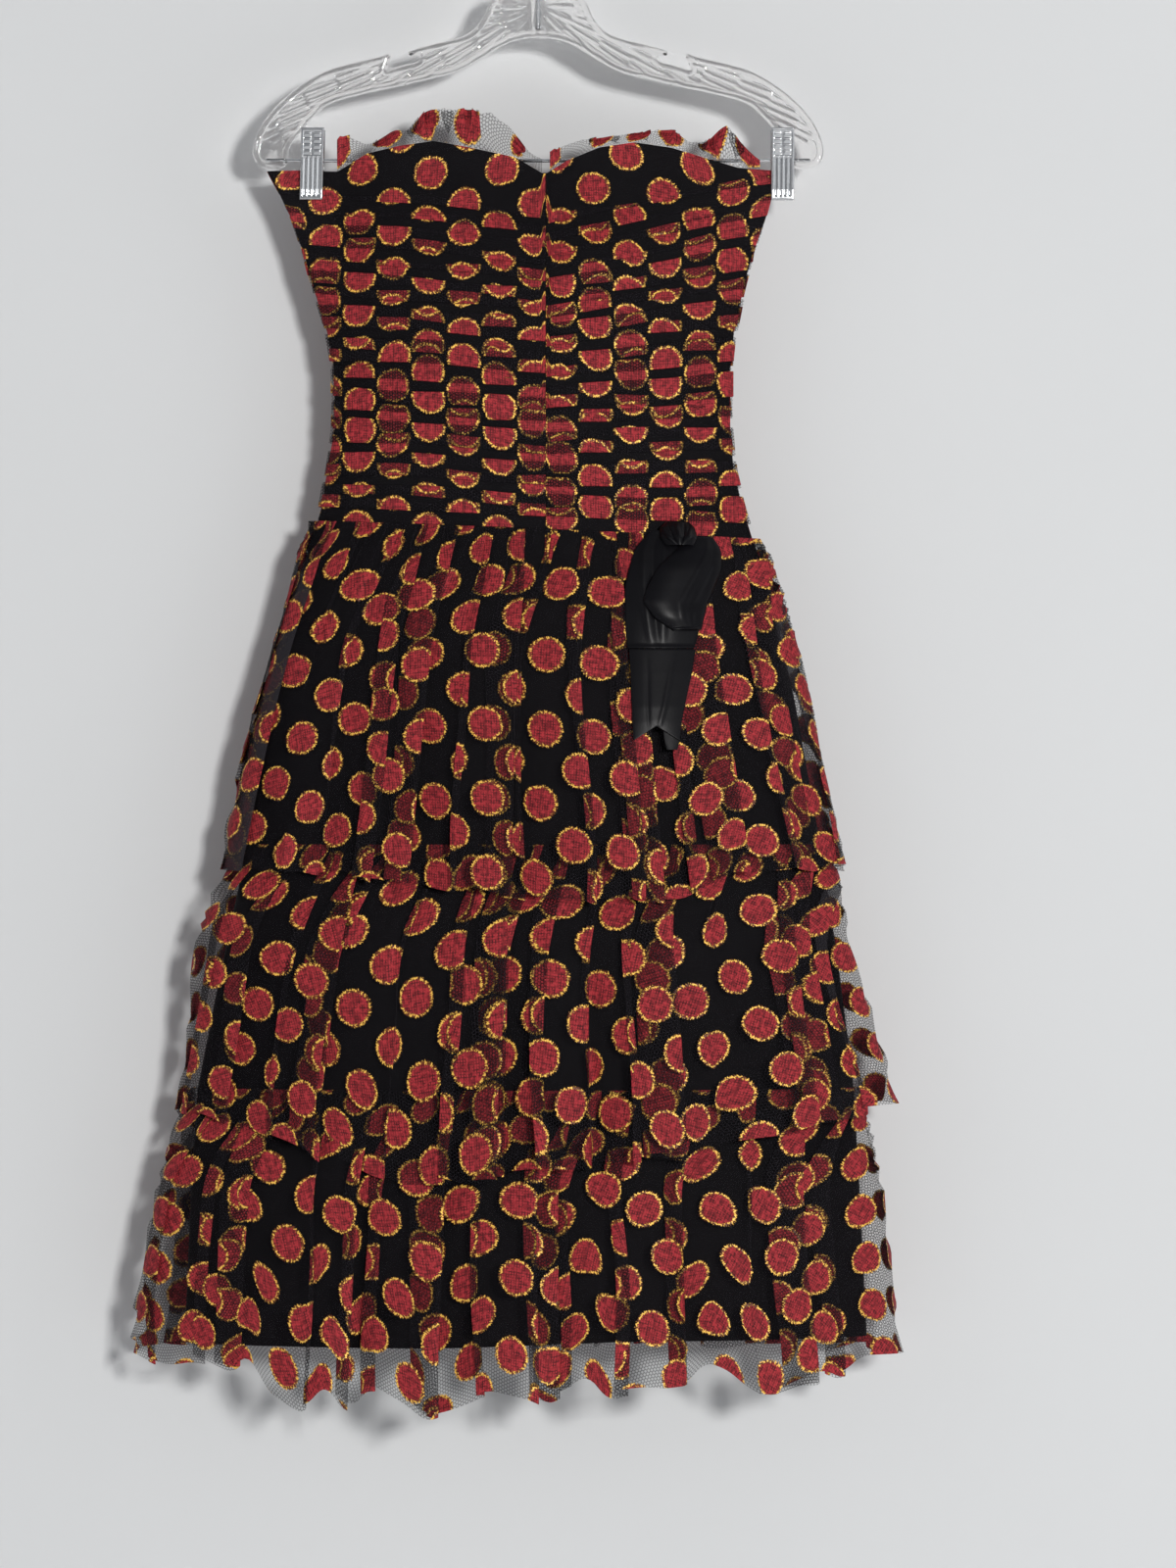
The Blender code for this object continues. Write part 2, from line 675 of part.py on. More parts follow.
def wire(name, points, radius, collection):
    """A round wire along the points, with filled ends."""
    curve = bpy.data.curves.new(name, "CURVE")
    curve.dimensions = "3D"
    curve.bevel_depth = radius
    curve.bevel_resolution = WIRE_ROUNDING
    curve.use_fill_caps = True
    spline = curve.splines.new("POLY")
    spline.points.add(len(points) - 1)
    for point, place_at in zip(spline.points, points):
        point.co = (*place_at, 1.0)
    obj = bpy.data.objects.new(name, curve)
    collection.objects.link(obj)
    return obj


def rod(name, radius, start, end, collection, sides=ROD_SIDES):
    """A cylinder between two points on one line along X, Y or Z."""
    start, end = Vector(start), Vector(end)
    mesh = bpy.data.meshes.new(name)
    built = bmesh.new()
    bmesh.ops.create_cone(
        built, cap_ends=True, segments=sides, radius1=radius, radius2=radius,
        depth=(end - start).length,
    )
    built.to_mesh(mesh)
    built.free()
    obj = bpy.data.objects.new(name, mesh)
    obj.location = (start + end) / 2
    obj.rotation_mode = "QUATERNION"
    obj.rotation_quaternion = (end - start).to_track_quat("Z", "Y")
    collection.objects.link(obj)
    return obj


def block(name, low, high, collection):
    """A box between two corners, with its origin at its middle."""
    low, high = Vector(low), Vector(high)
    mesh = bpy.data.meshes.new(name)
    built = bmesh.new()
    bmesh.ops.create_cube(built, size=1.0)
    bmesh.ops.scale(built, vec=high - low, verts=built.verts)
    built.to_mesh(mesh)
    built.free()
    obj = bpy.data.objects.new(name, mesh)
    obj.location = (low + high) / 2
    collection.objects.link(obj)
    return obj


def cut(target, cutter, operation="DIFFERENCE"):
    """Adds a Boolean to the target, and keeps the cutter out of the part."""
    modifier = target.modifiers.new(cutter.name, "BOOLEAN")
    modifier.operation = operation
    modifier.solver = "EXACT"
    modifier.object = cutter
    cutter.hide_render = True
    cutter.display_type = "WIRE"


def coat(obj, material):
    obj.data.materials.clear()
    obj.data.materials.append(finish(material))


def hanger(collection, cutters):
    """Clear hanger: two arms with strap notches, a lug at each end for the bar, and a socket."""
    half = [(x * MM, z * MM) for x, z in HANGER_OUTLINE]
    outline = half + [(-x, z) for x, z in reversed(half)]
    curve = bpy.data.curves.new("hanger_body", "CURVE")
    curve.dimensions = "2D"
    curve.fill_mode = "BOTH"
    curve.extrude = HANGER_THICK / 2
    spline = curve.splines.new("POLY")
    spline.points.add(len(outline) - 1)
    spline.use_cyclic_u = True
    for point, (x, z) in zip(spline.points, outline):
        point.co = (x, z, 0.0, 1.0)
    body_curve = bpy.data.objects.new("hanger_body", curve)
    body_curve.rotation_euler = (math.pi / 2, 0.0, 0.0)
    collection.objects.link(body_curve)
    body = solid_of_curve(body_curve, collection)
    edges = body.modifiers.new("round_edges", "BEVEL")
    edges.width = HANGER_EDGE_ROUND
    edges.segments = 2
    edges.limit_method = "ANGLE"
    edges.angle_limit = HANGER_EDGE_ANGLE
    socket = rod("hook_socket", HOOK_WIRE + SOCKET_PLAY, (0, 0, HOOK_STEM_FOOT - SOCKET_DEPTH),
                 (0, 0, SOCKET_TOP), cutters)
    cut(body, socket)
    for side, name in ((-1, "bar_hole_left"), (1, "bar_hole_right")):
        start = (side * BAR_HOLE_START, 0, BAR_HEIGHT)
        end = (side * (BAR_HALF + SOCKET_DEPTH), 0, BAR_HEIGHT)
        cut(body, rod(name, BAR_RADIUS + SOCKET_PLAY, start, end, cutters))
    coat(body, "clear_plastic")


def hook(collection):
    """Wire hook: a stem from the neck, then round over the rail to its tip."""
    radius = HOOK_INNER + HOOK_WIRE
    middle = -HOOK_INNER
    angles = [math.radians(a) for a in np.linspace(HOOK_TIP_ANGLE, HOOK_TURN_ANGLE, HOOK_TURN_STEPS)]
    points = [(radius * math.cos(a), 0.0, middle + radius * math.sin(a)) for a in angles]
    bend_start = points[-1]
    stem_top = middle - radius - HOOK_NECK_DROP
    pull = (bend_start[0] * HOOK_PULL[0], 0.0, middle - radius * HOOK_PULL[1])
    for step in range(1, HOOK_NECK_STEPS + 1):
        t = step / HOOK_NECK_STEPS
        x = (1 - t) ** 2 * bend_start[0] + 2 * t * (1 - t) * pull[0]
        z = (1 - t) ** 2 * bend_start[2] + 2 * t * (1 - t) * pull[2] + t * t * stem_top
        points.append((x, 0.0, z))
    points.append((0.0, 0.0, stem_top - HOOK_STRAIGHT))
    points.append((0.0, 0.0, HOOK_STEM_FOOT))
    hook_object = solid_of_curve(wire("hook", points, HOOK_WIRE, collection), collection)
    coat(hook_object, "bright_steel")


def bar(collection):
    start = (-BAR_HALF, 0, BAR_HEIGHT)
    obj = rod("bar", BAR_RADIUS, start, (BAR_HALF, 0, BAR_HEIGHT), collection)
    coat(obj, "bright_steel")


def clip_plate(name, middle, side, outsides, collection):
    """One jaw plate of a clip. Its foot presses the cloth and its top stands away. Side is -1 in
    front and 1 behind."""
    points = np.concatenate([finer(grid, FINER_STEPS).reshape(-1, 3) for grid in outsides])
    under = np.abs(points[:, 0] - middle) < CLIP_WIDTH / 2 + CLIP_MARGIN
    under &= points[:, 2] > CLIP_FOOT - CLIP_MARGIN
    foot = float((side * points[under, 1]).max()) + SEAM_GAP
    profile = (
        (CLIP_FOOT, foot),
        (CLIP_FOOT + CLIP_JAW, foot + CLIP_JAW_OPEN),
        (CLIP_TOP, CLIP_HALF_GAP_TOP),
    )
    x = np.array([middle - CLIP_WIDTH / 2, middle + CLIP_WIDTH / 2])
    inner = np.array([stacked(x, np.full(2, side * y), np.full(2, z)) for z, y in profile])
    outer = inner + np.array([0.0, side * CLIP_PLATE, 0.0])
    obj = place(name, wall_mesh(name, inner, outer, False), "bright_steel", collection)
    edges = obj.modifiers.new("round_edges", "BEVEL")
    edges.width = CLIP_EDGE_ROUND
    edges.segments = 2
    edges.limit_method = "ANGLE"


def clips(outsides, collection, cutters):
    for middle, hand in zip(CLIP_X, ("left", "right")):
        front = outsides[f"bodice_front_{hand}"]
        back = outsides[f"bodice_back_{hand}"]
        clip_plate(f"clip_{hand}_front", middle, -1, [front, back], collection)
        clip_plate(f"clip_{hand}_back", middle, 1, [front, back], collection)
        start = (middle - SLEEVE_HALF, 0, BAR_HEIGHT)
        end = (middle + SLEEVE_HALF, 0, BAR_HEIGHT)
        sleeve = rod(f"clip_{hand}_sleeve", SLEEVE_RADIUS, start, end, collection,
                     SLEEVE_SIDES)
        hole_start = (middle - 2 * SLEEVE_HALF, 0, BAR_HEIGHT)
        hole_end = (middle + 2 * SLEEVE_HALF, 0, BAR_HEIGHT)
        hole = rod(f"sleeve_hole_{hand}", BAR_RADIUS + SEAM_GAP, hole_start, hole_end, cutters)
        cut(sleeve, hole)
        coat(sleeve, "bright_steel")


def zip_line():
    """Heights along the zip, and the y of its inner side at each."""
    low = float(waist_at(BACK_SEAM_X))
    heights = np.linspace(BACK_NECK_HEIGHT - ZIP_TOP_DROP, low, ZIP_STEPS + 1)
    return heights, by_height(heights, "back")


def zip_teeth(collection):
    """Closed zip between the back panels, level with their outside."""
    x = BACK_SEAM_X + np.array([-ZIP_HALF_WIDTH, ZIP_HALF_WIDTH])
    inner = np.array([stacked(x, np.full(2, y), np.full(2, z)) for z, y in zip(*zip_line())])
    outer = inner + np.array([0.0, BODICE_WALL, 0.0])
    mesh = wall_mesh("zip_teeth", inner, outer, False)
    place("zip_teeth", mesh, "zip_nylon", collection)


def slider_face():
    """Y of the slider's outer face."""
    heights, depths = zip_line()
    span = SLIDER_HEIGHT + np.linspace(-0.5, 0.5, SLIDER_SAMPLES) * SLIDER_SIZE[2]
    behind = float(np.interp(span, heights[::-1], depths[::-1]).max())
    return behind + BODICE_WALL + SLIDER_PLAY + SLIDER_SIZE[1]


def zip_slider(collection, cutters):
    """Slider body with the bridge that carries its pull."""
    wide, thick, tall = SLIDER_SIZE
    face = slider_face()
    low = (BACK_SEAM_X - wide / 2, face - thick, SLIDER_HEIGHT - tall / 2)
    high = (BACK_SEAM_X + wide / 2, face, SLIDER_HEIGHT + tall / 2)
    body = block("zip_slider", low, high, collection)
    low = (BACK_SEAM_X - BAIL_WIDTH / 2, face - BAIL_SINK, SLIDER_HEIGHT - BAIL_LONG / 2)
    high = (BACK_SEAM_X + BAIL_WIDTH / 2, face + BAIL_HIGH, SLIDER_HEIGHT + BAIL_LONG / 2)
    cut(body, block("zip_bridge", low, high, cutters), "UNION")
    low = (BACK_SEAM_X - wide, face, SLIDER_HEIGHT - BAIL_LONG / 2 + BAIL_BAR)
    high = (
        BACK_SEAM_X + wide, face + BAIL_HIGH - BAIL_BAR, SLIDER_HEIGHT + BAIL_LONG / 2 - BAIL_BAR,
    )
    cut(body, block("zip_tunnel", low, high, cutters))
    coat(body, "zip_metal")


def zip_pull(collection, cutters):
    """Pull tab. Its top bar lies in the bridge's tunnel and is the hinge, at its parent empty."""
    hinge = bpy.data.objects.new("zip_hinge", None)
    hinge.location = (BACK_SEAM_X, slider_face() + PIN_UP, SLIDER_HEIGHT - PIN_DOWN)
    collection.objects.link(hinge)
    half = TAB_THICK / 2
    low = (-TAB_WIDTH / 2, -half, -TAB_LENGTH)
    tab = block("zip_pull_tab", low, (TAB_WIDTH / 2, half, half), collection)
    tab.parent = hinge
    window_low = (-TAB_WINDOW_HALF, -TAB_WINDOW_DEEP, -TAB_WINDOW_LONG)
    window_high = (TAB_WINDOW_HALF, TAB_WINDOW_DEEP, -half)
    window = block("zip_tab_window", window_low, window_high, cutters)
    window.parent = hinge
    cut(tab, window)
    coat(tab, "zip_metal")


def main():
    clear_scene()
    dress = new_collection("party_dress")
    cutters = new_collection("cutters")
    panels = bodice(dress)
    frill("frill_left", FRILL_LEFT, panels["bodice_front_left"], dress)
    frill("frill_right", FRILL_RIGHT, panels["bodice_front_right"], dress)
    lining(dress)
    flounces = tiers(dress)
    flower([panels["bodice_front_right"], flounces["tier_top"]], dress)
    zip_teeth(dress)
    zip_slider(dress, cutters)
    zip_pull(dress, cutters)
    hanger(dress, cutters)
    hook(dress)
    bar(dress)
    clips(panels, dress, cutters)


main()
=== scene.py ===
"""Looks of a strapless party dress of dotted net, hung by two clips from a clear hanger.

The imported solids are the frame, in metres, with +Z up, +X to the viewer's right and -Y in front.
Every cloth is a thin surface on the form of its solid. It starts from one flattened tube, the hollow
of the dress, stands off it by so much at each place, and carries a UV map in metres of the flat
cloth, so that the woven dots are cut, turned and hidden by tucks and folds as real ones are.
"""

import logging
import math
from dataclasses import dataclass
from enum import Enum

import bmesh
import bpy
import numpy as np
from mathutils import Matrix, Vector
from mathutils.geometry import delaunay_2d_cdt

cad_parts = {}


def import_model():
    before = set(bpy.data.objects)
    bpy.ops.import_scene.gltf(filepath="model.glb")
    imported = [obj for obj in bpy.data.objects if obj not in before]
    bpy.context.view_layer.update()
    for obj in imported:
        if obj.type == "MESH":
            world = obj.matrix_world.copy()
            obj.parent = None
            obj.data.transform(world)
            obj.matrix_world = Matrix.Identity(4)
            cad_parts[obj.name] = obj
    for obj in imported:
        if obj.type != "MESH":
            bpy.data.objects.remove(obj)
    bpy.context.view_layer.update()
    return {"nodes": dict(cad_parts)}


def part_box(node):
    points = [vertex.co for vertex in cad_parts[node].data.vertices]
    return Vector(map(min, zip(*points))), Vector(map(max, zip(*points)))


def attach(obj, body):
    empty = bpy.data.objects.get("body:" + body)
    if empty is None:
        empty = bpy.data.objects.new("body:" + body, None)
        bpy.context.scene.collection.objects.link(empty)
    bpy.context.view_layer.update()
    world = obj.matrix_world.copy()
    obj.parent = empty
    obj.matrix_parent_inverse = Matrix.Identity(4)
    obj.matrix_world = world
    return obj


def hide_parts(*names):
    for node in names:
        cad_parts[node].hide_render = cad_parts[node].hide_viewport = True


LOG = logging.getLogger("party_dress")
MM = 0.001
TAU = 2.0 * math.pi

# Odd factors: the sine of a count times one of them jumps about, the same way each run.
SCATTER = (12.9898, 78.233)
TINY = 1e-12
# Rounds in which a height that depends on its own place settles.
ROUNDS = 4

Array = np.ndarray
Rows = tuple[tuple[float, ...], ...]
Pair = tuple[float, float]
Place = tuple[float, float, float]
Colour = tuple[float, float, float]
Material = bpy.types.Material
Mesh = bpy.types.Mesh
Node = bpy.types.Node
Object = bpy.types.Object
Socket = bpy.types.NodeSocket


class Body(Enum):
    """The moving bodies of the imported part."""

    DRESS = "dress"
    ZIP_PULL = "zip_pull"


class Slot(Enum):
    """The record's material slots."""

    NET = "dotted_net"
    LINING = "black_lining"
    SATIN = "black_satin"
    PLASTIC = "clear_plastic"
    STEEL = "bright_steel"
    NYLON = "zip_nylon"
    ZIP_METAL = "zip_metal"


class Held(Enum):
    """How a cloth is held, in the frame's own words."""

    HUNG = "hung"
    GATHERED = "gathered"
    FOLDED = "folded"


# --- shapes ---


def table(rows: Rows) -> Array:
    """A short table in millimetres as an array in metres.

    Args:
        rows: The table's rows.

    Returns:
        The same numbers in metres, rows by columns.
    """
    return np.array(rows, float) * MM


def along_table(rows: Array, at: Array, name: int) -> Array:
    """One column of a table, read by its first column.

    Args:
        rows: The table in metres. Its first column rises or falls all the way.
        at: Where to read it.
        name: The index of the column.

    Returns:
        The column's value at each place, straight between rows.
    """
    order = np.argsort(rows[:, 0])
    return np.interp(at, rows[order, 0], rows[order, name])


def smooth(value: Array) -> Array:
    """Zero below 0, one above 1, and 3v^2 - 2v^3 between.

    Args:
        value: Any numbers.

    Returns:
        Numbers from 0 to 1.
    """
    part = np.clip(value, 0.0, 1.0)
    return part * part * (3.0 - 2.0 * part)


def ripple(at: Array, seed: int, waves: tuple[int, ...] = (2, 3, 5, 8)) -> Array:
    """Slow uneven change round a ring or along an edge: a sum of sines with whole numbers of waves.

    Args:
        at: Share of the way round, from 0 to 1.
        seed: Picks the phases.
        waves: How many waves each sine has.

    Returns:
        Numbers from about -1 to 1.
    """
    phases = np.random.default_rng(seed).uniform(0.0, TAU, len(waves))
    total = sum(np.sin(TAU * n * at + p) / n**0.5 for n, p in zip(waves, phases))
    return total / sum(1.0 / n**0.5 for n in waves)


def run_of(points: Array, axis: int) -> Array:
    """Length along a grid's rows or columns, from its start.

    Args:
        points: Grid of points, rows by columns by 3.
        axis: 0 to run down the columns, 1 to run along the rows.

    Returns:
        Summed distances between neighbours, rows by columns.
    """
    steps = np.linalg.norm(np.diff(points, axis=axis), axis=2)
    start = np.zeros_like(np.take(steps, [0], axis=axis))
    return np.concatenate([start, np.cumsum(steps, axis=axis)], axis=axis)


def grid_faces(rows: int, columns: int, wrap: bool) -> Array:
    """Quads between neighbours of a grid.

    Args:
        rows: Number of rows.
        columns: Number of columns.
        wrap: True to join the last column to the first.

    Returns:
        Indices of the corners, quads by 4.
    """
    here = np.arange(columns if wrap else columns - 1)
    there = (here + 1) % columns
    first = np.arange(rows - 1)[:, None] * columns
    corners = [first + here, first + there, first + columns + there, first + columns + here]
    return np.stack(corners, axis=-1).reshape(-1, 4)


def creased(points: Array, reach: int) -> Array:
    """How sharply the cloth turns away from its own general face, as at the edge of a fold.

    The general face is the grid averaged along its rows. The result is one less the size of the dot
    product of the two surfaces' normals, each the cross product of the steps across and down.

    Args:
        points: Grid of points, rows by columns by 3.
        reach: How many columns to either side the average takes in.

    Returns:
        0 where the cloth lies flat to 1 where it stands on edge, rows by columns.
    """
    padded = np.pad(points, ((0, 0), (reach, reach), (0, 0)), mode="edge")
    general = sum(padded[:, n : n + points.shape[1]] for n in range(2 * reach + 1)) / (2 * reach + 1)
    faces = []
    for grid in (points, general):
        down, across = np.gradient(grid, axis=(0, 1))
        normal = np.cross(across, down)
        length = np.linalg.norm(normal, axis=2, keepdims=True)
        faces.append(normal / np.maximum(length, TINY))
    return 1.0 - np.abs((faces[0] * faces[1]).sum(axis=2))


def surface(
    name: str,
    points: Array,
    uv: Array | None = None,
    within: Array | None = None,
    wrap: bool = False,
    crease: Array | None = None,
) -> Mesh:
    """Mesh of a grid of points, facing outwards.

    The faces are turned so that, summed over the grid, their normals point away from what is within.

    Args:
        name: The mesh's name.
        points: Grid of points, rows by columns by 3.
        uv: Place of each point on the flat cloth, rows by columns by 2.
        within: A point inside the piece for each point of the grid. The plane y = 0 unless given.
        wrap: True to join the last column to the first.
        crease: How sharply the cloth is creased at each point, kept as an attribute.

    Returns:
        The mesh, smooth shaded.
    """
    rows, columns = points.shape[:2]
    if within is None:
        within = points * np.array([1.0, 0.0, 1.0])
    flat = points.reshape(-1, 3)
    inside = np.broadcast_to(within, points.shape).reshape(-1, 3)
    faces = grid_faces(rows, columns, wrap)
    corners = flat[faces]
    normals = np.cross(corners[:, 2] - corners[:, 0], corners[:, 3] - corners[:, 1])
    outwards = corners.mean(1) - inside[faces].mean(1)
    if (normals * outwards).sum() < 0:
        faces = faces[:, ::-1]
    mesh = bpy.data.meshes.new(name)
    mesh.from_pydata(flat, [], faces)
    if uv is not None:
        layer = mesh.uv_layers.new(name="cloth")
        layer.data.foreach_set("uv", uv.reshape(-1, 2)[faces.ravel()].ravel())
    if crease is not None:
        mesh.attributes.new("crease", "FLOAT", "POINT").data.foreach_set("value", crease.ravel())
    mesh.shade_smooth()
    return mesh


def tube(name: str, path: Array, radius: float | Array, sides: int = 20) -> Mesh:
    """A round profile carried along a path in one plane y = constant, with domed ends.

    Each ring is the path's point plus the radius times cosine of the path's own normal and sine of Y.
    The ends close with a ring of no width.

    Args:
        name: The mesh's name.
        path: Points of the path, n by 3.
        radius: The tube's radius, the same all along or one for each point.
        sides: Points in each ring.

    Returns:
        The mesh.
    """
    ahead = np.gradient(path, axis=0)
    ahead /= np.linalg.norm(ahead, axis=1)[:, None]
    across = np.stack([ahead[:, 2], np.zeros(len(path)), -ahead[:, 0]], axis=1)
    sizes = np.broadcast_to(np.asarray(radius, float), (len(path),))
    dome = np.array([0.0, 0.5, 0.87])
    reach = np.array([1.0, 0.87, 0.5])
    start = path[0] - ahead[0] * sizes[0] * reach[:, None]
    end = path[-1] + ahead[-1] * sizes[-1] * reach[::-1, None]
    centres = np.concatenate([start, path, end])
    sideways = np.concatenate([across[[0] * 3], across, across[[-1] * 3]])
    widths = np.concatenate([sizes[0] * dome, sizes, sizes[-1] * dome[::-1]])
    angle = np.arange(sides) / sides * TAU
    ring = np.cos(angle)[None, :, None] * sideways[:, None]
    ring = ring + np.sin(angle)[None, :, None] * np.array([0.0, 1.0, 0.0])
    points = centres[:, None] + ring * widths[:, None, None]
    return surface(name, points, within=centres[:, None], wrap=True)


def placed(name: str, data: object) -> Object:
    """A new object of that data, linked to the scene."""
    obj = bpy.data.objects.new(name, data)
    bpy.context.scene.collection.objects.link(obj)
    return obj


def piece(
    name: str,
    mesh: Mesh,
    finish: Material,
    replaces: tuple[str, ...] = (),
    body: Body = Body.DRESS,
) -> Object:
    """Puts a finished mesh into the scene as a piece of the part.

    Args:
        name: The piece's name.
        mesh: Its mesh, in place.
        finish: Its material.
        replaces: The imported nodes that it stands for.
        body: The body that carries it.

    Returns:
        The object.
    """
    obj = placed(name, mesh)
    mesh.materials.append(finish)
    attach(obj, body.value)
    if replaces:
        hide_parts(*replaces)
    LOG.info("%s: %d faces", name, len(mesh.polygons))
    return obj


def declare_cloth(obj: Object, uv: Array) -> None:
    """Logs the size and area of a piece's flat pattern.

    Args:
        obj: The piece.
        uv: Its flat pattern in metres, rows by columns by 2.
    """
    across, down = np.diff(uv, axis=1)[:-1], np.diff(uv, axis=0)[:, :-1]
    area = np.abs(across[..., 0] * down[..., 1] - across[..., 1] * down[..., 0]).sum()
    width, length = np.ptp(uv.reshape(-1, 2), axis=0)
    area = min(float(area), float(width * length))
    LOG.info("%s: cut %.0f x %.0f mm, %.3f m2", obj.name, width / MM, length / MM, area)


# --- the hollow of the dress ---

# Columns: height, left edge, right edge, depth in front, depth behind.
HOLLOW = table((
    (-199, -205, 184, 11, 9),
    (-215, -196, 178, 14, 9),
    (-232, -188, 173, 17, 10),
    (-262, -177, 162, 22, 13),
    (-292, -168, 154, 25, 15),
    (-321, -159, 148, 27, 16),
    (-351, -154, 145, 27, 16),
    (-395, -154, 145, 25, 16),
    (-425, -159, 148, 25, 17),
    (-455, -164, 155, 26, 18),
    (-484, -173, 164, 28, 19),
    (-514, -179, 175, 31, 20),
    (-603, -200, 194, 38, 24),
    (-726, -223, 216, 48, 28),
    (-811, -241, 228, 53, 32),
    (-892, -257, 238, 57, 34),
    (-960, -262, 242, 60, 36),
    (-1080, -267, 248, 63, 38),
))
# Columns: distance along X, height.
NECKLINE = table((
    (-205, -198.5), (-180, -198), (-152, -199), (-129, -185.5), (-104, -180), (-79, -176.5),
    (-54, -181), (-17, -189), (5, -202), (22, -191.5), (46, -181.5), (73, -177.5),
    (101, -181.5), (124, -188.5), (151, -196), (184, -198.5),
))
CLIP_X = (-171 * MM, 185 * MM)
CLIP_WIDTH = 17.5 * MM
CLIP_TOP = -166.5 * MM
CLIP_FOOT = -220.5 * MM
LINING_HEM = -1080 * MM


@dataclass(frozen=True)
class Hollow:
    """The flattened tube that every cloth starts from: a lens in section, at each height."""

    power: float = 1.35
    thin: float = 1e-6
    middling: float = -860 * MM
    clip_grip: float = 3 * MM
    clip_reach_across: float = 30 * MM
    clip_reach_down: float = 50 * MM
    clip_press: float = 0.94
    waist_height: float = -470 * MM
    waist_fall: float = 0.041

    def waist(self, x: Array) -> Array:
        """Height of the waist seam, which runs a little downhill to the right."""
        return self.waist_height - self.waist_fall * x

    def edge(self, z: Array, right: bool) -> Array:
        """The hollow's left or right edge at these heights."""
        return along_table(HOLLOW, z, 2 if right else 1)

    def pressed(self, x: Array, z: Array) -> Array:
        """How far clips press the cloth flat.

        A bell round each clip: e to the minus squares of the distances beside and below it.

        Args:
            x: Places along X.
            z: Heights.

        Returns:
            Numbers from 0 to 1.
        """
        below = np.maximum(0.0, CLIP_FOOT - self.clip_grip - z) / self.clip_reach_down
        pressed = np.zeros(np.broadcast(x, z).shape)
        for middle in CLIP_X:
            beside = np.maximum(0.0, np.abs(x - middle) - CLIP_WIDTH / 2) / self.clip_reach_across
            pressed = np.maximum(pressed, np.exp(-(beside**2) - below**2))
        return pressed

    def section(self, turn: Array, z: Array) -> tuple[Array, Array, Array, Array]:
        """Points and outward normals of the section.

        Along X it is the middle plus half the width times the cosine of the turn. Along Y it is that
        side's depth times the sine to a power. The turn is 0 at the right edge and half at the left,
        with the back between them.

        Args:
            turn: Angles round the section.
            z: Heights, as many.

        Returns:
            X and Y of the points, and X and Y of the normals.
        """
        left, right = self.edge(z, False), self.edge(z, True)
        half = (right - left) / 2
        sine = np.sin(turn)
        side = np.where(sine >= 0, 1.0, -1.0)
        depth = np.where(sine >= 0, along_table(HOLLOW, z, 4), along_table(HOLLOW, z, 3))
        x = (left + right) / 2 + half * np.cos(turn)
        depth = depth * (1.0 - self.clip_press * self.pressed(x, z))
        lean = np.maximum(np.abs(sine), self.thin)
        y = side * depth * lean**self.power
        normal_x = depth * self.power * lean ** (self.power - 1.0) * np.cos(turn)
        normal_y = half * sine
        length = np.maximum(np.hypot(normal_x, normal_y), self.thin)
        return x, y, normal_x / length, normal_y / length

    def turn_at(self, x: Array, z: Array, front: bool) -> Array:
        """The turn at which the section has that X, in front or behind."""
        left, right = self.edge(z, False), self.edge(z, True)
        cosine = np.clip((x - (left + right) / 2) / ((right - left) / 2), -1.0, 1.0)
        return np.arccos(cosine) * (-1.0 if front else 1.0)

    def even_turn(self, along: Array) -> Array:
        """The turn at each share of the way round, half of it behind and half in front.

        The shares follow the length of a middling section: its length up to a turn, divided by the
        whole of that half, is turned round by interpolation.

        Args:
            along: Share of the way round, any number. Whole turns count again.

        Returns:
            Turns in radians.
        """
        fine = np.linspace(0.0, math.pi, 2001)
        share = np.mod(along, 1.0)
        turns = np.zeros_like(share)
        for first, behind in ((0.0, True), (math.pi, False)):
            x, y, _, _ = self.section(fine + first, np.full_like(fine, self.middling))
            run = np.concatenate([[0.0], np.cumsum(np.hypot(np.diff(x), np.diff(y)))])
            found = np.interp(np.clip(share * 2 - (not behind), 0, 1) * run[-1], run, fine + first)
            turns = np.where((share < 0.5) == behind, found, turns)
        return turns


# --- finishes ---


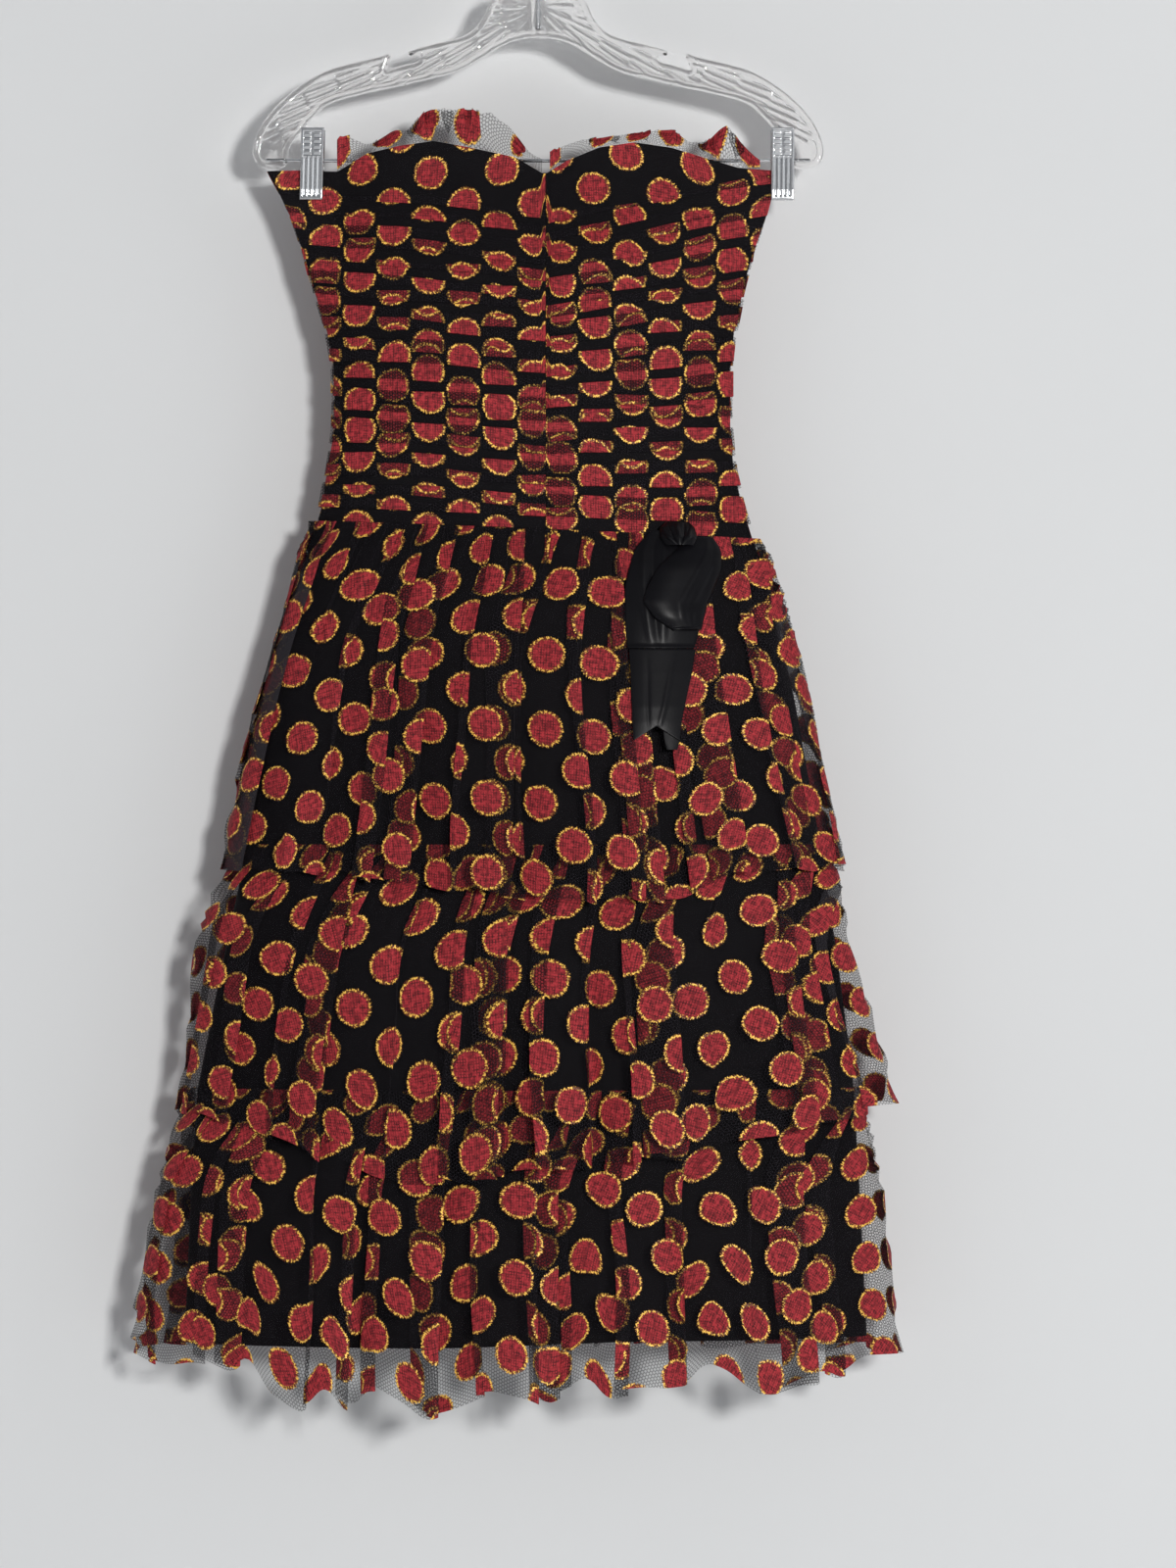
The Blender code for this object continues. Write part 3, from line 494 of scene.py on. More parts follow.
class Graph:
    """One material's nodes, built by small sums. Numbers and sockets both serve as inputs."""

    def __init__(self, name: str) -> None:
        """Starts a material with its shader.

        Args:
            name: The material's name.
        """
        self.material = bpy.data.materials.new(name)
        self.material.use_nodes = True
        self.tree = self.material.node_tree
        self.tree.nodes.clear()
        self.shader = self.node("ShaderNodeBsdfPrincipled")
        output = self.node("ShaderNodeOutputMaterial")
        self.tree.links.new(self.shader.outputs[0], output.inputs["Surface"])

    def node(self, kind: str, inputs: dict | None = None, **settings: object) -> Node:
        """Adds a node.

        Args:
            kind: The node's type.
            inputs: Values or sockets by input name or number.
            settings: The node's own properties.

        Returns:
            The node.
        """
        made = self.tree.nodes.new(kind)
        for key, value in settings.items():
            setattr(made, key, value)
        for key, value in (inputs or {}).items():
            self.put(made.inputs[key], value)
        return made

    def put(self, socket: Socket, value: object) -> None:
        """Links a socket, or sets its value."""
        if isinstance(value, Socket):
            self.tree.links.new(value, socket)
        elif socket.type == "RGBA" and len(value) == 3:
            socket.default_value = (*value, 1.0)
        else:
            socket.default_value = value

    def set(self, **values: object) -> None:
        """Sets the shader's inputs. Names are written with underscores for spaces."""
        for key, value in values.items():
            self.put(self.shader.inputs[key.replace("_", " ")], value)

    def math(self, operation: str, *values: object) -> Socket:
        """One step of arithmetic on numbers."""
        return self.node("ShaderNodeMath", dict(enumerate(values)), operation=operation).outputs[0]

    def vector(self, operation: str, *values: object) -> Socket:
        """One step of arithmetic on vectors."""
        made = self.node("ShaderNodeVectorMath", dict(enumerate(values)), operation=operation)
        return made.outputs["Value" if operation in ("LENGTH", "DOT_PRODUCT") else "Vector"]

    def rise(self, value: object, low: float, high: float) -> Socket:
        """A smooth step from 0 at low to 1 at high. Low may be the larger."""
        inputs = {"Value": value, "From Min": low, "From Max": high}
        made = self.node("ShaderNodeMapRange", inputs, interpolation_type="SMOOTHSTEP")
        return made.outputs["Result"]

    def span(self, value: object, low: float, high: float) -> Socket:
        """Turns numbers from 0 to 1 into numbers from low to high."""
        inputs = {"Value": value, "To Min": low, "To Max": high}
        return self.node("ShaderNodeMapRange", inputs).outputs["Result"]

    def blend(self, share: object, first: object, second: object) -> Socket:
        """A colour between two, by the share of the second."""
        made = self.node("ShaderNodeMix", data_type="RGBA")
        for socket, value in ((0, share), (6, first), (7, second)):
            self.put(made.inputs[socket], value)
        return made.outputs[2]

    def noise(self, place: object, size: float, detail: float = 2.0) -> Socket:
        """Noise from 0 to 1, with lumps of about that size in metres."""
        inputs = {"Vector": place, "Scale": 1.0 / size, "Detail": detail}
        return self.node("ShaderNodeTexNoise", inputs).outputs["Fac"]

    def scaled(self, place: object, scale: Place) -> Socket:
        """The place with each direction scaled. Less than 1 draws out what is painted on it."""
        return self.node("ShaderNodeMapping", {"Vector": place, "Scale": scale}).outputs[0]

    def flat_cloth(self) -> Socket:
        """Place on the flat cloth, in metres."""
        return self.node("ShaderNodeUVMap", uv_map="cloth").outputs["UV"]

    def place(self) -> Socket:
        """Place on the object, in metres."""
        return self.node("ShaderNodeTexCoord").outputs["Object"]

    def bump(self, height: object, distance: float, strength: float = 1.0) -> None:
        """Gives the shader a relief: height from 0 to 1, times the distance in metres."""
        inputs = {"Height": height, "Distance": distance, "Strength": strength}
        self.put(self.shader.inputs["Normal"], self.node("ShaderNodeBump", inputs).outputs["Normal"])

    def waves(self, number: object, size: float) -> Socket:
        """Threads side by side: the sine of a length, from 0 to 1, with that pitch in metres."""
        wave = self.math("SINE", self.math("MULTIPLY", number, TAU / size))
        return self.math("MULTIPLY_ADD", wave, 0.5, 0.5)


def times(colour: Colour, factor: float) -> Colour:
    """A colour with each of its parts multiplied."""
    return tuple(part * factor for part in colour)


@dataclass(frozen=True)
class DottedNet:
    """Sheer black net woven with red dots, each edged with a loose ring of gold thread."""

    name: str = "dotted_net"
    # The dots' lattice and size, their gold rim, and how ragged their edges are.
    spacing: float = 38 * MM
    radius: float = 12.9 * MM
    rim: float = 1.55 * MM
    tufts: float = 47.0
    tuft_height: float = 0.45 * MM
    tuft_drift: float = 40.0
    slow_size: float = 14 * MM
    slow_reach: float = 2.8 * MM
    quick_size: float = 1.2 * MM
    quick_reach: float = 2.6 * MM
    dot_edge: float = 0.2 * MM
    rim_edge: Pair = (0.5 * MM, 0.1 * MM)
    # The dots' weave. A step is where a smooth rise from 0 to 1 starts and ends.
    weave: float = 1.9 * MM
    weave_bend: float = 0.8 * MM
    across_step: Pair = (0.40, 0.90)
    down_step: Pair = (0.5, 1.0)
    wear_size: float = 3.2 * MM
    wear_step: Pair = (0.34, 0.62)
    diagonal: float = 0.7071
    middle_bend: float = 1.6 * MM
    middle_step: Pair = (0.9 * MM, 0.3 * MM)
    middle_strength: float = 0.5
    line_strength: float = 0.9
    streak_size: float = 2.2 * MM
    streak: float = 0.3
    tone_step: Pair = (0.80, 1.12)
    glint_size: float = 2.1 * MM
    glint_step: Pair = (0.47, 0.54)
    # The net: its holes, how much its holes and threads cover, and how much it covers in a crease.
    mesh: float = 2.1 * MM
    mesh_step: Pair = (0.2, -1.3)
    cover: Pair = (0.08, 0.64)
    crease_step: Pair = (0.35, 0.95)
    bunched: float = 0.75
    bright_red: Colour = (0.44, 0.033, 0.042)
    deep_red: Colour = (0.23, 0.015, 0.021)
    shadow_red: Colour = (0.036, 0.004, 0.006)
    # Painted glint: the gold rim is painted bright gold where it stands in for the thread catching the
    # light, and dark brown between.
    gold: Colour = (0.95, 0.56, 0.10)
    unlit_gold: Colour = (0.13, 0.035, 0.008)
    thread: Colour = (0.013, 0.0115, 0.014)
    # Painted sheen: creased net is painted this lighter grey.
    sheen_grey_thread: Colour = (0.034, 0.031, 0.036)
    glint_metal: float = 0.12
    roughness: Pair = (0.75, 0.38)
    specular: Pair = (0.05, 0.25)
    relief: float = 0.5 * MM
    relief_strength: float = 0.7

    def cell(self, g: Graph, cloth: Socket) -> Socket:
        """Place in a cell of the lattice, from its middle. The lattice stands on its corner."""
        inputs = {"Vector": cloth, "Rotation": (0, 0, math.pi / 4), "Scale": (1 / self.spacing,) * 3}
        turned = g.node("ShaderNodeMapping", inputs).outputs[0]
        cell = g.vector("SUBTRACT", g.vector("FRACTION", turned), (0.5, 0.5, 0.0))
        return g.vector("MULTIPLY", cell, (1.0, 1.0, 0.0))

    def dots(self, g: Graph, cell: Socket, slow: Socket, quick: Socket) -> tuple[Socket, Socket]:
        """The dots and their rims.

        The distance from the cell's middle is made uneven by noise, and by tufts, which are a sine of
        the angle. It is less than the radius on a dot, and nearly the radius on its rim.

        Args:
            g: The material's nodes.
            cell: Place in the cell.
            slow: Slow noise, from -0.5 to 0.5.
            quick: Quick noise, from -0.5 to 0.5.

        Returns:
            1 on a dot and 0 off it, and the same for its rim.
        """
        far = g.math("MULTIPLY", g.vector("LENGTH", cell), self.spacing)
        far = g.math("MULTIPLY_ADD", slow, self.slow_reach, far)
        sides = g.node("ShaderNodeSeparateXYZ", {0: cell})
        angle = g.math("ARCTAN2", sides.outputs[1], sides.outputs[0])
        angle = g.math("MULTIPLY", angle, self.tufts)
        tuft = g.math("SINE", g.math("MULTIPLY_ADD", slow, self.tuft_drift, angle))
        ragged = g.math("MULTIPLY_ADD", tuft, self.tuft_height, far)
        ragged = g.math("MULTIPLY_ADD", quick, self.quick_reach, ragged)
        dot = g.rise(ragged, self.radius + self.dot_edge, self.radius - self.dot_edge)
        start = self.radius - self.rim
        outer = g.rise(ragged, start - self.rim_edge[0], start + self.rim_edge[1])
        return dot, g.math("MULTIPLY", dot, outer)

    def red(
        self, g: Graph, cloth: Socket, cell: Socket, quick: Socket, across: Socket, down: Socket
    ) -> Socket:
        """Colour of the dots' weave.

        Threads both ways, worn in places, and one darker thread up through each dot's middle lie over
        two noises, each drawn out along one of the threads' directions.

        Args:
            g: The material's nodes.
            cloth: Place on the flat cloth.
            cell: Place in the cell.
            quick: Quick noise, from -0.5 to 0.5.
            across: Threads side by side across the cloth.
            down: Threads side by side down the cloth.

        Returns:
            The colour.
        """
        lines = g.math("MAXIMUM", g.rise(across, *self.across_step), g.rise(down, *self.down_step))
        worn = g.rise(g.noise(cloth, self.wear_size, 3.0), *self.wear_step)
        sides = g.node("ShaderNodeSeparateXYZ", {0: cell})
        beside = g.math("ADD", sides.outputs[0], sides.outputs[1])
        beside = g.math("MULTIPLY", beside, self.spacing * self.diagonal)
        beside = g.math("ABSOLUTE", g.math("MULTIPLY_ADD", quick, self.middle_bend, beside))
        middle = g.math("MULTIPLY", g.rise(beside, *self.middle_step), self.middle_strength)
        lines = g.math("MAXIMUM", g.math("MULTIPLY", lines, worn), middle)
        slub = g.noise(g.scaled(cloth, (1.0, self.streak, 1.0)), self.streak_size)
        pick = g.noise(g.scaled(cloth, (self.streak, 1.0, 1.0)), self.streak_size)
        tone = g.rise(g.math("ADD", slub, pick), *self.tone_step)
        red = g.blend(tone, self.deep_red, self.bright_red)
        return g.blend(g.math("MULTIPLY", lines, self.line_strength), red, self.shadow_red)

    def threads(self, g: Graph, u: Socket, v: Socket) -> Socket:
        """The net's threads, round six-sided holes.

        They are where a sum of three cosines, sixty degrees from each other, is low.

        Args:
            g: The material's nodes.
            u: Place across the flat cloth.
            v: Place down the flat cloth.

        Returns:
            1 on a thread and 0 in a hole.
        """
        k = TAU / self.mesh
        first = g.math("COSINE", g.math("MULTIPLY", u, k))
        rising = g.math("MULTIPLY", v, k * (math.sqrt(3) / 2))
        back = g.math("MULTIPLY", u, -k / 2)
        second = g.math("COSINE", g.math("ADD", back, rising))
        last = g.math("COSINE", g.math("SUBTRACT", back, rising))
        return g.rise(g.math("ADD", g.math("ADD", first, second), last), *self.mesh_step)

    def make(self) -> Material:
        """The material.

        The dots lie on the net. Off them, the net is denser where the piece's own crease attribute says
        that it is bunched, and its threads are painted grey there as a painted sheen along the fold
        edges.

        Returns:
            The material.
        """
        g = Graph(self.name)
        cloth = g.flat_cloth()
        parts = g.node("ShaderNodeSeparateXYZ", {0: cloth})
        u, v = parts.outputs[0], parts.outputs[1]
        slow = g.math("SUBTRACT", g.noise(cloth, self.slow_size), 0.5)
        quick = g.math("SUBTRACT", g.noise(cloth, self.quick_size, 3.0), 0.5)
        across = g.waves(g.math("MULTIPLY_ADD", slow, self.weave_bend, u), self.weave)
        down = g.waves(g.math("MULTIPLY_ADD", slow, self.weave_bend, v), self.weave)
        cell = self.cell(g, cloth)
        dot, rim = self.dots(g, cell, slow, quick)
        red = self.red(g, cloth, cell, quick, across, down)
        # Painted glints: random spots of the gold rim are painted bright gold, and the rest dark brown.
        lit = g.rise(g.noise(cloth, self.glint_size, 1.0), *self.glint_step)
        crease = g.node("ShaderNodeAttribute", attribute_name="crease").outputs["Fac"]
        dense_and_sheen = g.rise(crease, *self.crease_step)
        net = g.span(self.threads(g, u, v), *self.cover)
        net = g.math("MAXIMUM", net, g.math("MULTIPLY", dense_and_sheen, self.bunched))

        # Painted sheen: where the net is creased, its threads are painted grey.
        colour = g.blend(dot, g.blend(dense_and_sheen, self.thread, self.sheen_grey_thread), red)
        colour = g.blend(rim, colour, g.blend(lit, self.unlit_gold, self.gold))
        g.set(
            Base_Color=colour,
            Alpha=g.math("MAXIMUM", net, dot),
            Metallic=g.math("MULTIPLY", g.math("MULTIPLY", rim, lit), self.glint_metal),
            Roughness=g.span(rim, *self.roughness),
            Specular_IOR_Level=g.span(dot, *self.specular),
        )
        raised = g.math("MULTIPLY", g.math("ADD", g.math("MULTIPLY", across, down), rim), dot)
        g.bump(g.math("MULTIPLY", raised, 0.5), self.relief, self.relief_strength)
        return g.material


@dataclass(frozen=True)
class Lining:
    """Plain black lining cloth, finely woven and a little glossy."""

    name: str = "black_lining"
    colour: Colour = (0.0024, 0.0022, 0.0027)
    lighter: float = 1.8
    tone_size: float = 30 * MM
    weave: float = 0.8 * MM
    roughness: Pair = (0.6, 0.75)
    specular: float = 0.06
    relief: float = 0.15 * MM
    relief_strength: float = 0.5

    def make(self) -> Material:
        """The material: two sets of fine threads in relief, and slow changes of tone."""
        g = Graph(self.name)
        place = g.place()
        x, _, z = g.node("ShaderNodeSeparateXYZ", {0: place}).outputs
        threads = g.math("MULTIPLY", g.waves(x, self.weave), g.waves(z, self.weave))
        tone = g.noise(place, self.tone_size)
        g.set(
            Base_Color=g.blend(tone, self.colour, times(self.colour, self.lighter)),
            Roughness=g.span(threads, *self.roughness),
            Specular_IOR_Level=self.specular,
        )
        g.bump(threads, self.relief, self.relief_strength)
        return g.material


@dataclass(frozen=True)
class Satin:
    """Black satin: a soft broad sheen across fine floats."""

    name: str = "black_satin"
    colour: Colour = (0.0030, 0.0029, 0.0038)
    lighter: float = 1.9
    float_size: float = 0.5 * MM
    float_stretch: float = 0.12
    tone_size: float = 16 * MM
    roughness: Pair = (0.30, 0.42)
    specular: float = 0.13
    relief: float = 0.12 * MM
    relief_strength: float = 0.35

    def make(self) -> Material:
        """The material: floats drawn out along Z, in relief and in gloss, and a slow change of tone."""
        g = Graph(self.name)
        place = g.place()
        floats = g.noise(g.scaled(place, (1.0, 1.0, self.float_stretch)), self.float_size, 3.0)
        tone = g.noise(place, self.tone_size)
        g.set(
            Base_Color=g.blend(tone, self.colour, times(self.colour, self.lighter)),
            Roughness=g.span(floats, *self.roughness),
            Specular_IOR_Level=self.specular,
        )
        g.bump(floats, self.relief, self.relief_strength)
        return g.material


@dataclass(frozen=True)
class ClearPlastic:
    """Clear moulded plastic, hardly tinted, with faint flow lines."""

    name: str = "clear_plastic"
    colour: Colour = (0.975, 0.965, 0.96)
    ior: float = 1.49
    flow_size: float = 9 * MM
    wear_size: float = 2.5 * MM
    wear_step: Pair = (0.62, 0.74)
    roughness: Pair = (0.03, 0.16)
    relief: float = 0.35 * MM
    relief_strength: float = 0.3

    def make(self) -> Material:
        """The material: clear, with a slow ripple in its face and a few dull specks of wear."""
        g = Graph(self.name)
        place = g.place()
        wear = g.rise(g.noise(place, self.wear_size, 4.0), *self.wear_step)
        g.set(
            Base_Color=self.colour,
            Roughness=g.span(wear, *self.roughness),
            IOR=self.ior,
            Transmission_Weight=1.0,
        )
        g.bump(g.noise(place, self.flow_size), self.relief, self.relief_strength)
        return g.material


@dataclass(frozen=True)
class Metal:
    """Plated or enamelled metal with fine scratches and a little dulling."""

    name: str
    colour: Colour
    gloss: Pair = (0.08, 0.24)
    darker: float = 0.8
    dull_size: float = 6 * MM
    scratch_size: float = 0.5 * MM
    scratch_stretch: float = 0.06
    relief: float = 0.03 * MM
    relief_strength: float = 0.3

    def make(self) -> Material:
        """The material: scratches along Z in relief, and roughness that changes slowly."""
        g = Graph(self.name)
        place = g.place()
        scratches = g.noise(g.scaled(place, (1.0, 1.0, self.scratch_stretch)), self.scratch_size, 4.0)
        dulling = g.noise(place, self.dull_size, 3.0)
        g.set(
            Base_Color=g.blend(dulling, self.colour, times(self.colour, self.darker)),
            Metallic=1.0,
            Roughness=g.span(dulling, *self.gloss),
        )
        g.bump(scratches, self.relief, self.relief_strength)
        return g.material


@dataclass(frozen=True)
class ZipNylon:
    """Black nylon coil and its woven tape."""

    name: str = "zip_nylon"
    colour: Colour = (0.014, 0.014, 0.016)
    lighter: float = 2.0
    tone_size: float = 2 * MM
    gloss_size: float = 3 * MM
    roughness: Pair = (0.35, 0.55)
    weave: float = 0.6 * MM
    relief: float = 0.05 * MM
    relief_strength: float = 0.4

    def make(self) -> Material:
        """The material: a slight gloss on the coil, with a faint weave."""
        g = Graph(self.name)
        place = g.place()
        height = g.node("ShaderNodeSeparateXYZ", {0: place}).outputs[2]
        tone = g.noise(place, self.tone_size)
        g.set(
            Base_Color=g.blend(tone, self.colour, times(self.colour, self.lighter)),
            Roughness=g.span(g.noise(place, self.gloss_size), *self.roughness),
        )
        g.bump(g.waves(height, self.weave), self.relief, self.relief_strength)
        return g.material


@dataclass(frozen=True)
class Finishes:
    """Every material of the part, made once."""

    net: Material
    lining: Material
    satin: Material
    plastic: Material
    steel: Material
    nylon: Material
    zip_metal: Material

    @classmethod
    def make(cls) -> "Finishes":
        """Makes them all."""
        return cls(
            net=DottedNet().make(),
            lining=Lining().make(),
            satin=Satin().make(),
            plastic=ClearPlastic().make(),
            steel=Metal("bright_steel", (0.80, 0.82, 0.84)).make(),
            nylon=ZipNylon().make(),
            zip_metal=Metal("zip_metal", (0.045, 0.045, 0.048), (0.22, 0.42)).make(),
        )


# --- bodice ---


@dataclass(frozen=True)
class Panel:
    """One panel of the bodice and its folds, from the neckline down.

    A fold D has an edge that hangs down over the cloth below it. A fold U has an edge that stands up
    over the cloth above it. The first fold's height is given at the side seam and at the centre seam,
    and the last number pair shifts the weave. Both are in millimetres.
    """

    name: str
    front: bool
    side: int
    folds: str
    first: Pair
    weave: Pair

    # Height in millimetres of the strip between two folds, or between the last fold and the waist.
    STRIPS = {"DU": 8.5, "UD": 17.5, "DD": 13.0, "UU": 13.0, "D": 11.0, "U": 15.0}

    @property
    def node(self) -> str:
        """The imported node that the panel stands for."""
        return f"bodice_{self.name}"

    def shares(self) -> Array:
        """Share of the way from the first fold to the waist, for each fold and for the waist."""
        strips = [self.STRIPS[self.folds[n : n + 2]] for n in range(len(self.folds))]
        run = np.concatenate([[0.0], np.cumsum(strips)])
        return run / run[-1]


PANELS = (
    Panel("front_left", True, -1, "DDUDDUDUDUDDUDUDUDUD", (-216, -234), (8.6, 4)),
    Panel("front_right", True, 1, "DDDDUDDUDUDUDDUDUDUD", (-206, -240), (-11, 17)),
    Panel("back_left", False, -1, "DDUDUDDUDUDUDUDDUDUD", (-214, -214), (3, 9)),
    Panel("back_right", False, 1, "DDUDDUDUDUDDUDUDUDUD", (-214, -215), (-5, 21)),
)


@dataclass(frozen=True)
class Bodice:
    """Four panels of net, folded from side seam to centre seam, each over its own black cover."""

    hollow: Hollow
    finishes: Finishes
    columns: int = 110
    back_neck: float = -199 * MM
    front_seam: float = 6 * MM
    back_seam: float = -4 * MM
    seam_gap: float = 0.15 * MM
    zip_room: float = 2.8 * MM
    split: float = 0.15 * MM
    hidden: float = 7.4 * MM
    hidden_most: float = 8.6 * MM
    shallow_above: float = 0.34
    wander: float = 1.7 * MM
    high: float = 2.7
    low: float = 0.5
    clip_flattens: float = 0.85
    seam_dip: float = 4 * MM
    seam_keeps: float = 0.25
    cover_rows: int = 40
    strip_rows: int = 7
    wander_pitches: Pair = (46 * MM, 19 * MM)
    wander_settles: float = 9.0
    hidden_least: float = 0.4 * MM
    hidden_pitch: float = 30 * MM
    fold_unlike: float = 0.14
    swing: Pair = (0.62, 0.38)
    pucker: float = 0.14
    pucker_pitch: float = 4.3 * MM
    full_width: float = 4 * MM
    full_least: float = 0.6

    # A folded edge. Columns: millimetres past the line, share of the hidden width, stand-off.
    EDGE = (
        (0.35, 0.0, 2.55), (0.60, 0.0, 2.15), (0.35, 0.0, 1.80), (0.0, 0.5, 1.60),
        (0.0, 1.0, 1.45), (0.0, 1.05, 1.20), (0.0, 1.0, 0.95), (0.0, 0.5, 0.75),
    )

    def top(self, x: Array, front: bool) -> Array:
        """Height of the neckline."""
        return along_table(NECKLINE, x, 1) if front else np.full_like(x, self.back_neck)

    def rows(self, panel: Panel) -> Array:
        """The rows of a panel, from the neckline down.

        Between folds a strip runs from the level that the fold above leaves it at to the level that
        the fold below needs. Over a fold, rows run past the line, back under it and on.

        Args:
            panel: The panel.

        Returns:
            Columns: number of the line above, share of the way to the next one, millimetres further
            down, share of the hidden width further down, stand-off in millimetres.
        """
        rows = []
        last = len(panel.folds)
        for number in range(last + 1):
            start = self.low if number == 0 or panel.folds[number - 1] == "D" else self.high
            end = self.low if number == last or panel.folds[number] == "U" else self.high
            for share in np.linspace(0.0, 1.0, self.strip_rows)[(number > 0) :]:
                rows.append((number, share, 0.0, 0.0, start + (end - start) * share))
            if number == last:
                break
            if panel.folds[number] == "D":
                rows += [(number + 1, 0.0, past, -under, out) for past, under, out in self.EDGE]
            else:
                rows += [(number + 1, 0.0, -past, under, out) for past, under, out in self.EDGE[::-1]]
            after = self.low if panel.folds[number] == "D" else self.high
            rows.append((number + 1, 0.0, 0.0, 0.0, after))
        return np.array(rows)

    def line(self, panel: Panel, x: Array, reach: Array, number: Array) -> Array:
        """Height of a fold's line. Number 0 is the neckline, and the one after the last is the waist.

        Lines run straight from seam to seam and wander a little. They fan out, because the first
        slants and the waist hardly does.

        Args:
            panel: The panel.
            x: Places along X, rows by columns.
            reach: Share of the way from the side seam to the centre seam.
            number: Which line, rows by 1.

        Returns:
            Heights, rows by columns.
        """
        shares = panel.shares()
        share = np.interp(number - 1, np.arange(len(shares)), shares)
        side, centre = np.array(panel.first) * MM
        first = side + (centre - side) * reach
        waist = self.hollow.waist(x)
        phase = np.sin(number * SCATTER[0] + panel.weave[1] * 0.9) * 3.0
        long, short = self.wander_pitches
        drift = np.sin(x / long + phase) * 0.6 + np.sin(x / short - 2.3 * phase) * 0.4
        settled = smooth((1.0 - share) * self.wander_settles)
        level = first + (waist - first) * share + self.wander * drift * settled
        return np.where(number < 0.5, self.top(x, panel.front), level)

    def under(self, panel: Panel, x: Array, number: Array) -> Array:
        """Width of cloth hidden by a fold, uneven along X. What one fold takes, the next gives back.

        Args:
            panel: The panel.
            x: Places along X, rows by columns.
            number: Which fold, rows by 1.

        Returns:
            Widths in metres, rows by columns.
        """
        shares = panel.shares()
        share = np.interp(number - 1, np.arange(len(shares)), shares)
        each = np.sin(number * SCATTER[1] + panel.weave[1] * 0.7)
        sign = np.where(np.mod(number, 2) < 0.5, 1.0, -1.0)
        slow = np.sin(x / self.hidden_pitch + 1.9 * np.floor(number / 2) + panel.weave[1] * 0.3)
        lower = smooth(share / self.shallow_above)
        swing = self.swing[0] - self.swing[1] * lower
        unlike = 1.0 + self.fold_unlike * each + swing * sign * slow
        wide = self.hidden * (0.5 + 0.5 * lower) * unlike
        return np.clip(wide, self.hidden_least, self.hidden_most)

    def points(self, panel: Panel, folded: bool) -> tuple[Array, Array]:
        """One panel's surface.

        Rows go down the cloth and columns from the side seam to the centre seam. Each point is the
        hollow's point at that X and height, moved out by the row's stand-off.

        Args:
            panel: The panel.
            folded: False for the plain cover under the net.

        Returns:
            The points and their places on the flat cloth.
        """
        front, side = panel.front, panel.side
        gap = self.seam_gap if front else self.zip_room
        seam_x = (self.front_seam if front else self.back_seam) + side * gap
        reach = np.linspace(0.0, 1.0, self.columns)[None]
        last = len(panel.folds) + 1
        if folded:
            number, share, past, hidden, stand = self.rows(panel).T[..., None]
        else:
            number = np.linspace(0.0, last, self.cover_rows)[:, None]
            share = number - np.floor(number)
            number = np.floor(number)
            past = hidden = stand = np.zeros_like(number)
        z = np.full((len(number), self.columns), self.back_neck)
        for _ in range(ROUNDS):
            edge = self.hollow.edge(z, side > 0)
            x = edge + (seam_x - edge) * reach
            upper = self.line(panel, x, reach, number)
            lower = self.line(panel, x, reach, np.minimum(number + 1, last))
            under = self.under(panel, x, number)
            z = upper - (upper - lower) * share - past * MM - under * hidden
        px, py, nx, ny = self.hollow.section(self.hollow.turn_at(x, z, front), z)
        py = np.minimum(py, -self.split) if front else np.maximum(py, self.split)
        nx[:, 0], ny[:, 0] = side, 0.0
        fade = smooth(np.abs(x - seam_x) / self.seam_dip) * (1.0 - self.seam_keeps) + self.seam_keeps
        near_seam = smooth(2.0 * np.abs(reach - 0.5))
        pucker = 1.0 + self.pucker * np.sin(x / self.pucker_pitch + number * 2.1) * near_seam
        nearest = self.under(panel, x, np.round(number + share))
        full = self.full_least + (1.0 - self.full_least) * smooth(nearest / self.full_width)
        flatter = 1.0 - self.clip_flattens * self.hollow.pressed(x, z)
        out = stand * MM * fade * pucker * full * flatter
        points = np.stack([px + nx * out, py + ny * out, z], axis=-1)
        run, down = run_of(points, 1), run_of(points, 0)
        u = side * (run[:, -1:] - run) + panel.weave[0] * MM
        v = down[-1:] - down + panel.weave[1] * MM
        return points, np.stack([u, v], axis=-1)

    def build(self) -> dict[str, Array]:
        """Makes the four panels and their covers.

        Returns:
            The outer points of each net panel, by the name of its node.
        """
        outer = {}
        for panel in PANELS:
            points, uv = self.points(panel, False)
            mesh = surface(f"cover_{panel.name}", points, uv)
            cover = piece(mesh.name, mesh, self.finishes.lining)
            face, hand = panel.name.split("_")
            declare_cloth(cover, uv)
            points, uv = self.points(panel, True)
            mesh = surface(f"net_{panel.name}", points, uv)
            net = piece(mesh.name, mesh, self.finishes.net, (panel.node,))
            declare_cloth(net, uv)
            outer[panel.node] = points
        return outer


# --- frill ---

# Columns: distance along X, height of the frill above the neckline.
FRILL_LEFT = table((
    (-152, 22), (-146, 24), (-129, 5), (-108, 13), (-100, 8), (-85, 23), (-51, 27), (-33, 28),
    (-18, 18), (-8, 10), (3, 9),
))
FRILL_RIGHT = table((
    (9, 16), (13, 14), (30, 10), (46, 7), (76, 6), (92, 12), (105, 14), (112, 8), (126, 10),
    (139, 27), (146, 28), (152, 20), (165, 8), (168, 5),
))


